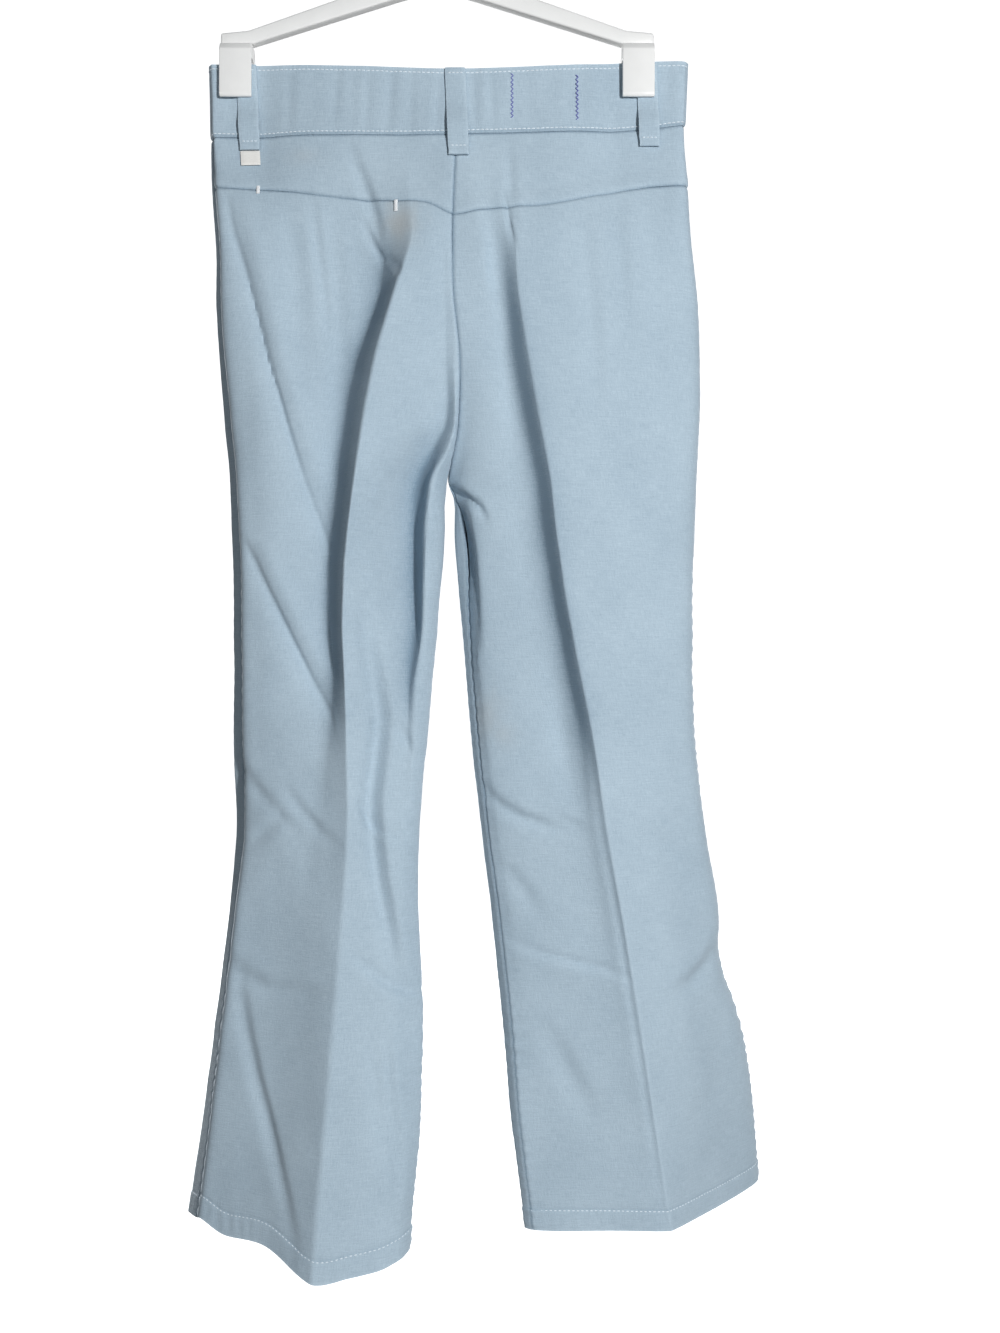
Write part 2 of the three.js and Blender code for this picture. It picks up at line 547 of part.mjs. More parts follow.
// A clip: two jaws under a roof that hangs from the bar's end. The back jaw also takes in a belt loop.
function hangerClip(x) {
  const waist = -WAIST_BELOW_HOOK;
  const backGap = CLIP.cloth + BAND.proud + LOOP.gap + LOOP.wall + CLIP.gap;
  const frontGap = CLIP.cloth + BAND.proud + CLIP.gap;
  const { bevel } = CLIP;
  const roofTop = waist + BAR.endAboveWaist - SEAM_GAP;
  const roofUnder = waist + CLIP.headroom - CLIP.roof;
  const foot = waist - CLIP.grip;
  const [back, front] = [-(backGap + CLIP.jaw), frontGap + CLIP.jaw];
  const outline = [
    [back, foot + 2 * bevel], [back + bevel, foot], [-backGap, foot], [-backGap, roofUnder - bevel],
    [-backGap + 1.5 * bevel, roofUnder], [frontGap - 1.5 * bevel, roofUnder], [frontGap, roofUnder - bevel],
    [frontGap, foot], [front - bevel, foot], [front, foot + 2 * bevel],
    [front, roofTop - 5 * bevel], [front - 3 * bevel, roofTop], [back + 3 * bevel, roofTop],
    [back, roofTop - 5 * bevel],
  ];
  const shape = new THREE.Shape(outline.map(([y, z]) => new THREE.Vector2(y, z)));
  const geometry = new THREE.ExtrudeGeometry(shape, { depth: CLIP.width, bevelEnabled: false });
  geometry.rotateX(Math.PI / 2).rotateZ(Math.PI / 2);
  return geometry.translate(x + MIDDLE_RIGHT_OF_HOOK - CLIP.width / 2, 0, 0);
}

const material = (color, roughness) => new THREE.MeshStandardMaterial({ color, roughness, metalness: 0 });
const cloth = material(COLOURS.cloth, 0.92);
const plastic = material(COLOURS.hanger, 0.4);
const trousers = new THREE.Group();
const add = (name, geometry, finish = cloth) => trousers.add(mesh(name, geometry, finish));

function addLegPanels() {
  const wall = legWall;
  const piece = (panel, top) => clothPiece({ cols: columns(panel), rows: 34, top, bottom: hem, wall });
  add("back_left", piece(BACK_LEFT, below(yokeSeam)));
  add("back_right", piece(BACK_RIGHT, below(yokeSeam)));
  add("front_left", piece(FRONT_LEFT, below(bandSeam)));
  add("front_right", piece(FRONT_RIGHT, below(bandSeam)));
}

function addYokes() {
  const piece = (panel) => clothPiece({
    cols: columns(panel), rows: 3, top: below(bandSeam), bottom: yokeSeam, wall: () => CLOTH.wall,
  });
  add("yoke_left", piece(BACK_LEFT));
  add("yoke_right", piece(BACK_RIGHT));
}

function addWaistband() {
  const { proud } = BAND;
  const wall = () => BAND.wall;
  const left = columns(BACK_LEFT, [1, 8, 14, 7, 3, 3, 1, 1, 1]);
  const right = columns(BACK_RIGHT, [2, 3, 4, 9, 8, 4, 1]).slice(1);
  add("waistband_back", clothPiece({
    cols: [...left, ...right], rows: 4, top: topEdge, bottom: bandSeam, wall, proud, relief: gathers,
  }));
  const front = (panel) => clothPiece({
    cols: columns(panel), rows: 3, top: topEdge, bottom: bandSeam, wall, proud,
  });
  add("waistband_front_left", front(FRONT_LEFT));
  add("waistband_front_right", front(FRONT_RIGHT));
}

function addLoops() {
  add("belt_loop_back_centre", beltLoop(BACK, 7, 10, 6.5, 72.5));
  add("belt_loop_back_left", beltLoop(BACK, -143, -139.5, 1, 63.2));
  add("belt_loop_back_right", beltLoop(BACK, 144, 146, -1, 60));
  add("belt_loop_front_left", beltLoop(FRONT, -80, -80, 3.5, 62));
  add("belt_loop_front_right", beltLoop(FRONT, 82, 82, 3, 61));
}

function addTrims() {
  add("fly", flyFlap());
  add("waist_button", waistButton(), material(COLOURS.button, 0.35));
  const tab = TAB.run.map(([drop, x]) => [drop, x, TAB.gap]);
  add("label_tab", laidOn(BACK, tab, TAB.width, TAB.wall, 2), material(COLOURS.tab, 0.8));
}

function addHanger() {
  add("hanger_hook", hangerHook(), material(COLOURS.hanger, 0.3));
  add("hanger_bar", hangerBar(), plastic);
  add("clip_left", hangerClip(CLIP.left), plastic);
  add("clip_right", hangerClip(CLIP.right), plastic);
}

addHanger();
addWaistband();
addYokes();
addLegPanels();
addLoops();
addTrims();

export default trousers;
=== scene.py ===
"""Light blue flared trousers hanging from a moulded clip hanger, seen from the back.

Everything sits in the frame of the solids: metres, +Z up, +X to the viewer's right, -Y towards the viewer.
The cloth is drawn as the solids are, by seam lines and guide lines that run from the waist to the hem, with
the finer creases, puckers, stitching and weave added here. Tables are in millimetres.
"""
import math

import bmesh
import bpy
import numpy as np
from bpy.props import FloatProperty, FloatVectorProperty, PointerProperty
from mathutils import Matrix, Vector


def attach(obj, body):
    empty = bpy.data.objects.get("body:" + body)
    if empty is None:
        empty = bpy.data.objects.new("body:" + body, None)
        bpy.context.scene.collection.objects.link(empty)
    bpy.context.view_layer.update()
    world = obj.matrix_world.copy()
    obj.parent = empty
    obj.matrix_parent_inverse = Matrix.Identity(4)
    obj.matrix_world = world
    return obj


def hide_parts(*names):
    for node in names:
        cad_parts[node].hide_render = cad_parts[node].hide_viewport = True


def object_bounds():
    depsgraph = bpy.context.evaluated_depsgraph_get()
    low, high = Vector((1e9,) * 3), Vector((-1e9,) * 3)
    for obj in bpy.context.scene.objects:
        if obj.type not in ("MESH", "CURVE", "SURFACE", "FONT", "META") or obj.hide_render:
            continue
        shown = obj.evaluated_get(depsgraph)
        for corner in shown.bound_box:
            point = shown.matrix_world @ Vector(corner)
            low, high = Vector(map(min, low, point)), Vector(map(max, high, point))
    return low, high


bl_info = {
    "name": "Flared Trousers",
    "version": (1, 0, 0),
    "blender": (4, 5, 0),
    "location": "View3D > Sidebar > Trousers",
    "description": "Builds the cloth, sewing and hanger of a pair of flared trousers",
    "category": "Object",
}

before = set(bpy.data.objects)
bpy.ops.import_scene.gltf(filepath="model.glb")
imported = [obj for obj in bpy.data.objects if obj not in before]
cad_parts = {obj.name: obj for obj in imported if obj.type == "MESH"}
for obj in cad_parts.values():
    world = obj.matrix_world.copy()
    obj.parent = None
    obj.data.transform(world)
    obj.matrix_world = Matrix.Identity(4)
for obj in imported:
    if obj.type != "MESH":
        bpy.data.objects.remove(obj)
CAD_LOW, CAD_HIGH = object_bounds()

MM = 0.001
WAIST_BELOW_HOOK = 120.0
MIDDLE_RIGHT_OF_HOOK = 6.0
CROTCH_DROP = 301.0
SIDE_TURN = {"inward": 3.5, "rise_at_waist": 5.0, "rise_below": 15.0}
HEM_DEPTH = 15.0
BAND_PROUD = 0.8
CLIP_PLACES = (-150.0, 138.0)
CLIP_WIDTH, CLIP_CLOTH, CLIP_REACH = 23.0, 3.3, 24.0
PINCH_FADE = (30.0, 125.0)

# The lines where two panels meet: rows of (drop below the waist, x, b), b being how far towards the back.
SEAMS = {
    "side_left": [
        (-5, -170, 0), (50, -168, 0), (90, -166, 2), (130, -163, 3), (170, -161, 3), (215, -158, 3),
        (260, -154, 2), (301, -151, 1), (340, -149, 0), (400, -148, -2), (475, -148, -6), (550, -148, -12),
        (610, -155, -12), (680, -164, -15), (760, -173, -16), (843, -183, -14)],
    "side_right": [
        (-5, 174, 0), (50, 172, 0), (90, 175, -1), (130, 178, -2), (170, 182, -4), (215, 184, -6),
        (260, 184, -8), (301, 182, -10), (340, 181, -12), (400, 180, -14), (475, 182, -20), (550, 191, -30),
        (610, 202.5, -44), (645, 206, -54), (668, 211, -61), (688, 219.5, -67), (711, 226.5, -75),
        (760, 237, -90), (843, 248, -112)],
    "centre_back": [
        (-5, 7, 9), (50, 8, 16), (90, 7, 24), (130, 6, 28), (170, 7, 30), (215, 11, 28), (260, 10, 20),
        (285, 5, 13), (301, 1, 2)],
    "centre_front": [
        (-5, 4, -9), (50, 4, -15), (90, 4, -21), (130, 4, -25), (170, 4, -27), (215, 4, -25), (260, 3, -17),
        (301, 1, 2)],
    "inseam_left": [
        (301, 1, 2), (340, -4, -1), (400, -9, -4), (475, -15, -5), (550, -21, -4), (610, -22, -1),
        (680, -17.5, 3), (760, -19, 9), (843, -24.5, 13)],
    "inseam_right": [
        (301, 1, 2), (320, 10, 2), (345, 14, 3), (400, 16, 4), (475, 22, 3), (550, 30, 1), (610, 38, 0),
        (680, 46, -2), (760, 53, -6), (843, 62.5, -11)],
}

# Each panel's guides from the viewer's left to right. The first and last are seams and "turn" is worked out.
# A section row is (drop, x and b of each guide in between). round is how softly the cloth bends at a guide.
PANELS = {
    "back_left": {
        "outward": -1, "turns_at": "start", "start": ["side_left"], "end": ["centre_back", "inseam_left"],
        "guides": ["side", "turn", "hip", "valley", "crease", "trough", "fold", "lip", "inner", "seam"],
        "round": [0.5, 0.3, 0.5, 0.22, 0.08, 0.5, 0.3, 0.35, 0.5, 0.5],
        "hem": [835, 829, 837, 838, 854, 851, 848, 845, 843, 843],
        "sections": [
            (-5, -135, 6, -60, 8, -29, 9, -14, 9, 0, 9, 3, 9, 5, 9),
            (50, -135, 11, -60, 15, -28, 15, -14, 16, 0, 16, 3, 16, 5, 16),
            (90, -133, 17, -58, 19, -26, 24, -13, 24, -1, 25, 2, 25, 5, 25),
            (130, -128, 21, -52, 15, -23, 33, -10, 34, 0, 31, 3, 30, 5, 29),
            (150, -126, 23, -48, 12, -27, 37, -11, 35, 0, 31, 3, 31, 5, 30),
            (170, -123, 24, -49, 10, -33, 41, -12, 36, 0, 31, 3, 31, 5, 31),
            (215, -120, 26, -65, 10, -46, 43, -22, 36, 0, 27, 6, 29, 8, 29),
            (260, -119, 27, -74, 11, -55, 43, -33, 33, -1, 16, 7, 27, 9, 24),
            (280, -118, 27, -77, 11, -58, 44, -39, 33, -13, 8, 2, 27, 6, 20),
            (301, -118, 25, -79, 12, -61, 45, -45, 32, -22, 4, -9, 27, -1, 14),
            (340, -118, 23, -82, 12, -66, 44, -52, 31, -25, 3, -15, 27, 1, 13),
            (400, -118, 20, -84, 12, -70, 40, -54, 29, -24, 8, -16, 25, -4, 11),
            (440, -118, 18, -81, 14, -69, 37, -52, 27, -26, 15, -20, 23, -8, 10),
            (475, -117, 18, -83, 20, -68, 34, -49, 25, -27, 18, -21, 21, -11, 10),
            (550, -120, 14, -92, 21, -67, 33, -49, 26, -30, 22, -24, 18, -18, 10),
            (610, -128, 10, -104, 19, -71, 34, -44, 27, -31, 23, -25, 18, -18, 10),
            (680, -139, 7, -116, 17, -76, 38, -42, 32, -33, 28, -24, 21, -15, 13),
            (760, -150, 7, -121, 20, -83, 44, -52, 41, -37, 36, -25, 27, -17, 18),
            (843, -160, 8, -126, 26, -89, 49, -62, 46, -43, 42, -30, 32, -24, 20)],
    },
    "back_right": {
        "outward": -1, "turns_at": "end", "start": ["centre_back", "inseam_right"], "end": ["side_right"],
        "guides": ["seam", "flat", "valley", "crease", "outer", "hip", "turn", "side"],
        "round": [0.5, 0.5, 0.35, 0.07, 0.5, 0.5, 0.5, 0.5],
        "hem": [843, 843, 844, 845, 844, 843, 842, 842],
        "sections": [
            (-5, 15, 9, 25, 9, 39, 9, 88, 8, 138, 6),
            (50, 17, 16, 28, 16, 39, 15, 90, 13, 138, 9),
            (90, 19, 25, 30, 24, 39, 24, 95, 20, 144, 12),
            (130, 21, 30, 38, 28, 49, 32, 98, 26, 150, 16),
            (170, 23, 29, 41, 25, 52, 36, 102, 29, 154, 18),
            (215, 27, 28, 45, 23, 59, 38, 108, 30, 157, 18),
            (260, 29, 26, 53, 22, 67, 39, 112, 30, 158, 17),
            (301, 19, 22, 61, 21, 74, 39, 115, 29, 157, 16),
            (320, 20, 21, 63, 20, 76, 39, 117, 29, 157, 16),
            (345, 22, 20, 67, 19, 79, 38, 118, 28, 156, 15),
            (400, 25, 18, 76, 16, 88, 34, 125, 24, 156, 12),
            (475, 33, 14, 91, 12, 103, 28, 136, 18, 160, 6),
            (550, 43, 10, 98, 11, 115, 21, 145, 11, 168, -2),
            (610, 52, 7, 108, 8, 126, 16, 156, 3, 178, -13),
            (680, 62, 2, 118, 4, 138, 9, 169, -7, 192, -28),
            (760, 76, -5, 131, -4, 151, -1, 180, -22, 206, -48),
            (843, 106, -10, 146, -12, 164, -15, 190, -39, 216, -66)],
    },
    "front_left": {
        "outward": 1, "turns_at": None, "start": ["side_left"], "end": ["centre_front", "inseam_left"],
        "guides": ["side", "outline", "hip", "crease", "inner", "centre"],
        "round": [0.5, 0.5, 0.5, 0.08, 0.5, 0.5],
        "hem": [835, 843, 842, 838, 840, 843],
        "sections": [
            (-5, -171, -5, -135, -6, -85, -8, -35, -9),
            (50, -171, -7, -134, -10, -85, -14, -35, -15),
            (90, -171, -8, -133, -15, -86, -20, -36, -21),
            (130, -170, -9, -132, -20, -88, -27, -38, -26),
            (170, -169, -9, -130, -23, -88, -32, -38, -29),
            (215, -167, -10, -128, -25, -88, -36, -38, -29),
            (260, -164, -10, -126, -27, -88, -40, -38, -29),
            (301, -161, -11, -125, -28, -88, -43, -40, -27),
            (340, -160, -11, -124, -29, -88, -46, -42, -26),
            (400, -159, -13, -123, -31, -88, -49, -44, -27),
            (475, -160, -17, -124, -35, -90, -53, -50, -30),
            (550, -160, -23, -126, -41, -94, -58, -56, -32),
            (610, -165, -30, -131, -48, -99, -63, -60, -33),
            (680, -176, -40, -141, -57, -107, -69, -62, -34),
            (760, -188, -49, -150, -66, -115, -77, -68, -34),
            (843, -202, -54, -158, -72, -122, -84, -75, -34)],
    },
    "front_right": {
        "outward": 1, "turns_at": "end", "start": ["centre_front", "inseam_right"], "end": ["side_right"],
        "guides": ["centre", "inner", "middle", "crease", "hip", "turn", "side"],
        "round": [0.5, 0.5, 0.5, 0.08, 0.5, 0.5, 0.5],
        "hem": [843, 843, 840, 838, 840, 842, 842],
        "sections": [
            (-5, 14, -9, 50, -9, 90, -8, 138, -6),
            (50, 14, -15, 50, -15, 90, -14, 138, -10),
            (90, 14, -22, 50, -22, 90, -20, 142, -15),
            (130, 14, -26, 50, -27, 92, -27, 146, -19),
            (170, 14, -28, 50, -30, 93, -32, 149, -23),
            (215, 14, -27, 50, -31, 94, -37, 151, -26),
            (260, 13, -23, 48, -31, 95, -41, 151, -29),
            (301, 7, -10, 44, -30, 95, -45, 149, -32),
            (340, 2, -8, 42, -31, 96, -47, 149, -34),
            (400, 8, -8, 46, -33, 98, -49, 150, -37),
            (475, 14, -10, 54, -35, 104, -53, 153, -43),
            (550, 22, -12, 62, -38, 110, -59, 160, -53),
            (610, 29, -13, 70, -42, 116, -66, 169, -64),
            (680, 36, -15, 79, -48, 121, -75, 180, -80),
            (760, 43, -18, 88, -57, 127, -87, 192, -98),
            (843, 53, -20, 98, -66, 132, -99, 202, -114)],
    },
}
BACK = ("back_left", "back_right")
FRONT = ("front_left", "front_right")

# Seam lines round the top, as (x, drop).
TOP_EDGE = [(-172, 0), (-60, 4), (7, 6.5), (75, 3.5), (140, -1.5), (176, -2)]
BAND_SEAM = [(-172, 52), (-60, 55), (7, 55), (75, 52), (140, 47), (176, 43)]
YOKE_SEAM = [(-166, 90), (-117, 95), (-81, 100), (-35, 105), (-13, 107), (6, 115), (25, 112), (74, 107),
             (110, 98), (146, 90), (176, 88)]

# The elastic's soft gathers across the back band: (x, depth share).
GATHERS = [(-112, 0.4), (-78, 0.6), (-55, 0.5), (-39, 1.0), (-24, 0.6), (-5, 0.6), (20, 0.6), (33, 0.5),
           (60, 0.6), (98, 0.4)]
GATHER = {"depth": 1.1, "width": 3.5, "lean": 0.04, "middle": 28}

# The soft unevenness of each kind of cloth: (height, seed, size across, size down).
LEG_NOISE = [(0.70, 11, 40, 62), (0.34, 12, 17, 24), (0.12, 13, 8, 10)]
YOKE_NOISE = [(0.30, 14, 30, 30), (0.12, 15, 9, 12)]
BAND_NOISE = [(0.12, 16, 14, 20)]
ELASTIC_NOISE = [(0.30, 17, 5.5, 60), (0.35, 18, 13, 90)]

# Ripples that the sewing leaves: beside the side seams, stronger in parts of the leg, and in the hem.
SIDE_PUCKER = {"reach": 9.0, "pitch": 9.5, "least": 0.15, "thigh": 0.35, "thigh_from": (330, 380),
               "thigh_to": (560, 620), "calf": 0.8, "calf_from": (620, 680)}
HEM_PUCKER = {"reach": 8.0, "pitch": 8.5, "height": 0.30, "middle": 9}
HEM_FOLD = {"thick": 0.35, "groove": 0.30, "width": 1.1, "below": 0.8}
YOKE_RIDGE = {"height": 0.35, "middle": 5, "width": 4.5}
BAND_LINES = {"top": (3.2, 6.0), "top_depth": 0.16, "top_width": 0.8, "bottom": 2.2, "bottom_depth": 0.2,
              "bottom_width": 0.9}

# Tones painted in the cloth. They are paler for wear on the crease and the folded edges, and darker as
# painted shade in the seams, the hem's groove and along the waistband's seam: (kinds of piece, the distance
# they follow, its middle, width, tone).
WEAR_AND_SEAM_SHADE = [
    ("leg", "weave", 0, 1.6, 0.12), ("leg", "from_bottom", 0, 1.5, 0.25),
    # The negative tones below are painted shade in the hem's groove and the seams; the positive ones are
    # wear.
    ("leg", "from_bottom", HEM_DEPTH + HEM_FOLD["below"], 1.2, -0.30),
    ("band", "from_top", 0, 1.6, 0.30), ("band", "from_bottom", 1, 1.5, -0.55),
    ("leg yoke band", "from_side", 0, 0.9, -0.9), ("leg yoke", "from_top", 0, 0.9, -0.9),
    ("yoke", "from_bottom", 0, 0.8, -0.7),
]

# Painted shade in the steep folds, the cloth's colour darkened where these folds lie in shadow: (guide place,
# width in guides, the drops that it fades in over and the drops that it fades out over).
PAINTED_FOLD_SHADE = {
    "back_left": [(3.42, 0.42, (120, 170), (440, 500)), (6.35, 0.5, (250, 300), (430, 480))],
    "back_right": [(2.55, 0.42, (120, 200), (450, 530)), (0, 0.55, (300, 325), (380, 480))],
}
# How far the painted fold shade darkens the cloth's tone.
FOLD_SHADE_TONE = -1.5

# The largest drag folds, as in the solids: a trough along (x, drop) points with a ridge on its right.
DRAG_FOLDS = [
    {"panel": "back_left", "depth": 2.8, "width": 8,
     "run": [(-155, 98), (-140, 153), (-125, 214), (-107, 277), (-90, 327), (-81, 352)]},
    {"panel": "back_left", "depth": 2.6, "width": 8,
     "run": [(-142, 343), (-127, 375), (-111, 408), (-95, 441), (-80, 470)]},
]

# Smaller creases, listed one by one: each is a trough along (x, drop) points. side is 1 for a lip on its
# right or upper side and -1 for one on the other, lean is how high the lip stands and soft how far it runs
# out. fade says how full a crease is towards its ends, and lip where its lip starts to fall, in widths.
CREASE_COLUMNS = ("depth", "width", "lean", "soft", "side", "run")
CREASE_FORM = {"fade": 0.7, "open_end": 0.03, "rise": 1.5, "lip": 1.2, "reach": (2.5, 4.0)}
CREASES = {
    "back_left": [
        (1.7, 2.5, 0.8, 3.5, 1, [(-155, 98), (-149.5, 126), (-140.5, 153), (-132.5, 184), (-125, 214),
            (-116, 245), (-107, 277), (-99, 303), (-90, 327), (-82, 350)]),
        (1.7, 2.5, 0.8, 3.5, 1, [(-142, 343), (-127, 375), (-111, 408), (-95, 441), (-84, 460),
            (-79, 471)]),
        (5.2, 6.5, 0.7, 1.5, 1, [(-56, 385), (-53, 413), (-49, 440), (-45, 469), (-48, 498),
            (-51.5, 525), (-50, 550), (-46.5, 581), (-41, 610), (-35, 637), (-30, 660)]),
        (2.0, 4.0, 0.6, 2, 1, [(-40, 690), (-38, 720), (-34, 760), (-31, 800)]),
        (1.6, 2.6, 0.8, 2, -1, [(-46, 141), (-40, 145), (-33, 154), (-30, 160)]),
        (1.2, 2.4, 0.7, 3, 1, [(-66, 362), (-60, 363), (-55, 367), (-50, 374)]),
        (1.8, 5.0, 0.5, 1.5, 1, [(-68, 62), (-62, 80), (-55, 98), (-49, 118), (-46, 135)]),
        (1.5, 3.5, 0.6, 2, 1, [(-93, 104), (-90, 135), (-86, 165), (-83, 195)]),
        (1.5, 3.0, 0.7, 2, 1, [(-58, 118), (-50, 135), (-42, 150), (-36, 160)]),
        (3.6, 5.0, 0.3, 1, 1, [(-8, 280), (-15, 301), (-19, 330), (-20, 370), (-20, 410), (-21, 440)]),
        (2.0, 9.0, 0.4, 1, 1, [(-112, 105), (-108, 128), (-104, 165), (-100, 215)]),
        (1.6, 8.0, 0.5, 1, 1, [(-80, 112), (-78, 150), (-76, 200), (-80, 250)]),
        (1.5, 6.0, 0.6, 2, 1, [(-150, 500), (-138, 517), (-124, 531), (-112, 540)]),
        (1.1, 4.5, 0.9, 2.5, 1, [(-113, 519), (-101, 534), (-88, 548), (-75, 556)]),
        (1.6, 5.0, 0.6, 2, 1, [(-142, 560), (-128, 548), (-117, 540), (-106, 545)]),
        (1.5, 3.0, 0.8, 2, -1, [(-58, 530), (-51, 543), (-43, 549), (-30, 551)]),
        (1.4, 4.5, 0.6, 2, 1, [(-36, 470), (-30, 480), (-24, 492), (-20, 500)]),
        (1.8, 7.0, 0.6, 2, 1, [(-160, 640), (-143, 655), (-126, 662), (-100, 661), (-84, 659)]),
        (2.2, 4.0, 0.8, 3, -1, [(-62, 633), (-52, 643), (-37, 655), (-24, 661), (-16, 664)]),
        (1.5, 6.0, 0.5, 2, 1, [(-50, 690), (-46, 730), (-38, 780)]),
        (2.6, 6.0, 0.5, 1.5, 1, [(-150, 655), (-144, 690), (-136, 722), (-127, 752), (-118, 780),
            (-110, 806), (-104, 832)]),
    ],
    "back_right": [
        (1.3, 2.6, 0.9, 3, 1, [(41, 98), (44, 112), (46, 128), (50, 140)]),
        (1.6, 7.0, 0.4, 1, 1, [(96, 104), (100, 150), (104, 205), (106, 260)]),
        (1.4, 8.0, 0.4, 1, -1, [(140, 92), (144, 125), (150, 170), (152, 220)]),
        (2.4, 5.0, 0.8, 2.5, 1, [(27, 520), (40, 532), (57, 541), (76, 546), (96, 548)]),
        (1.2, 3.0, 0.8, 2, -1, [(70, 536), (84, 541), (97, 545)]),
        (1.2, 2.6, 0.0, 1, 1, [(101, 485), (111, 550), (122, 610), (134, 680), (147, 760), (159, 835)]),
        (3.4, 3.2, 0.7, 1.5, 1, [(2, 303), (8, 307), (16, 313), (24, 319), (29, 327)]),
        (3.4, 4.5, 0.4, 1.5, 1, [(12, 318), (17, 345), (20, 380), (22, 420)]),
        (1.4, 4.0, 0.5, 1.5, 1, [(45, 62), (46, 85), (47, 110), (49, 135)]),
        (1.2, 6.0, 0.5, 1.5, 1, [(120, 102), (123, 140), (127, 200)]),
        (2.0, 6.0, 0.5, 1.5, -1, [(30, 118), (35, 135), (36, 155), (38, 175)]),
        (1.8, 9.0, 0.4, 1, 1, [(72, 420), (80, 450), (84, 490), (92, 530)]),
        (1.5, 2.6, 0.9, 4, -1, [(48, 630), (66, 637), (90, 643), (112, 648), (132, 655)]),
        (1.5, 7.0, 0.5, 1.5, 1, [(40, 575), (54, 590), (68, 612)]),
        (1.8, 9.0, 0.5, 1, 1, [(70, 690), (88, 725), (104, 760)]),
        (3.0, 8.0, 0.6, 1.5, -1, [(204, 640), (192, 655), (180, 664), (166, 668)]),
        (1.6, 8.0, 0.5, 1, 1, [(140, 545), (158, 560), (172, 585)]),
    ],
    "front_left": [
        (2.0, 9.0, 0.7, 2, 1, [(-20, 250), (-60, 300), (-100, 330)]),
        (1.8, 3.0, 0.7, 4, 1, [(-24, 318), (-48, 350), (-66, 400), (-74, 430)]),
        (1.8, 5.0, 0.6, 2, 1, [(-145, 530), (-110, 548), (-70, 540)]),
        (1.6, 4.0, 0.7, 2, -1, [(-138, 648), (-104, 658), (-58, 650)]),
    ],
    "front_right": [
        (2.0, 9.0, 0.7, 2, 1, [(22, 255), (60, 300), (98, 326)]),
        (1.8, 3.0, 0.7, 4, -1, [(28, 322), (52, 360), (70, 408), (78, 445)]),
        (1.8, 5.0, 0.6, 2, -1, [(70, 550), (110, 566), (150, 552)]),
        (1.6, 4.0, 0.7, 2, 1, [(84, 640), (118, 652), (168, 644)]),
    ],
}

# Faint beige stains on the seat and the right knee: (panel, x, drop, radius across, radius down, strength).
STAINS = [
    ("back_left", -31, 121, 10, 15, 0.42), ("back_right", 27, 468, 13, 17, 0.22),
    ("back_right", 40, 480, 9, 8, 0.15), ("yoke_left", -100, 70, 10, 6, 0.12),
]

LOOP = {"width": 14.5, "wall": 1.7, "lift": 0.3, "stand_off": 2.6, "free_from": 30, "fold": 0.7, "rows": 32}
LOOP_PLACES = [
    ("belt_loop_back_centre", BACK, 7, 10, 6.5, 72.5), ("belt_loop_back_left", BACK, -143, -139.5, 1, 63.2),
    ("belt_loop_back_right", BACK, 144, 146, -1, 60), ("belt_loop_front_left", FRONT, -80, -80, 3.5, 62),
    ("belt_loop_front_right", FRONT, 82, 82, 3, 61),
]
FLY = {"width": 36.0, "edge": 3.2, "top": 56.5, "foot": 195.5, "wall": 0.9, "lift": 0.25, "rows": 60,
       "straight": 0.62, "curve": 0.4, "narrowest": 0.03}
BUTTON = {"x": -6, "drop": 27, "sides": 56}
BUTTON_PROFILE = [(0.01, 0), (5.4, 0), (6.6, 0.3), (7.8, 0.7), (8.4, 1.3), (8.5, 1.9), (8.3, 2.5),
                  (7.8, 2.95), (7.0, 3.1), (6.2, 3.0), (5.6, 2.6), (5.0, 2.3), (4.0, 2.15), (2.0, 2.2),
                  (0.01, 2.25)]
TAB = {"drops": (63.7, 74.8), "xs": (-139.5, -138.5), "width": 14.0, "wall": 1.0, "lift": 0.9, "rows": 12}
TACK = {"half": 1.3, "pitch": 0.55, "lift": 0.25}
STITCH_LIFT = {"flat": 0.05, "hem": -0.2, "bow": 0.25}
ZIGZAG = {"rows": (47.5, 93.8), "from": 10.0, "to": 43.0, "pitch": 3.3, "half": 1.9}
TACKS = [(-132.6, 91, 97), (-34, 105, 113)]
HOOK = {"bend": 20.0, "wire": 3.0, "stem_foot": -52.0, "tip_angle": -25.0, "last_angle": 232.0, "rings": 150,
        "sides": 20}
BAR = {"hub_half": 13.0, "thick": 8.0, "height": 11.0, "end_above_waist": 14.5}
CLIP = {"grip": 25.0, "jaw": 3.0, "roof": 5.0, "headroom": 9.0, "play": 0.3, "shoulder": (3, 5),
        "toe": (1, 2), "corner": 1.5, "bevel": 0.7}
CAMERA = {"x": 0.045, "away": 0.936, "z": -0.552, "frame_height": 0.96}
LAMPS = [
    {"name": "key", "place": (1.12, -2.25, -0.30), "size": 0.16, "share": 1.0},
    {"name": "left_fill", "place": (-1.1, -2.2, -0.5), "size": 0.8, "share": 0.12},
    {"name": "far_side_key", "place": (-1.2, 2.0, -0.3), "size": 0.5, "share": 0.8},
    {"name": "far_side_fill", "place": (1.3, 1.7, -0.6), "size": 1.0, "share": 0.25},
]
SWEEP = {"radius": 2.9, "bend": 0.8, "floor": -1.16, "top": 2.2, "sides": 96}
SKY_COLOUR = (0.72, 0.88, 1.0, 1.0)
BAND_WALL = 1.3
CLOTH_LENGTH = 843.0
SHARP_ROUND = 0.25
EDGE_BLEND = 9.0
SHELL = 0.9
SEAM_GAP = 0.12
SEAM_DIP = {"depth": 0.9, "width": 1.15}


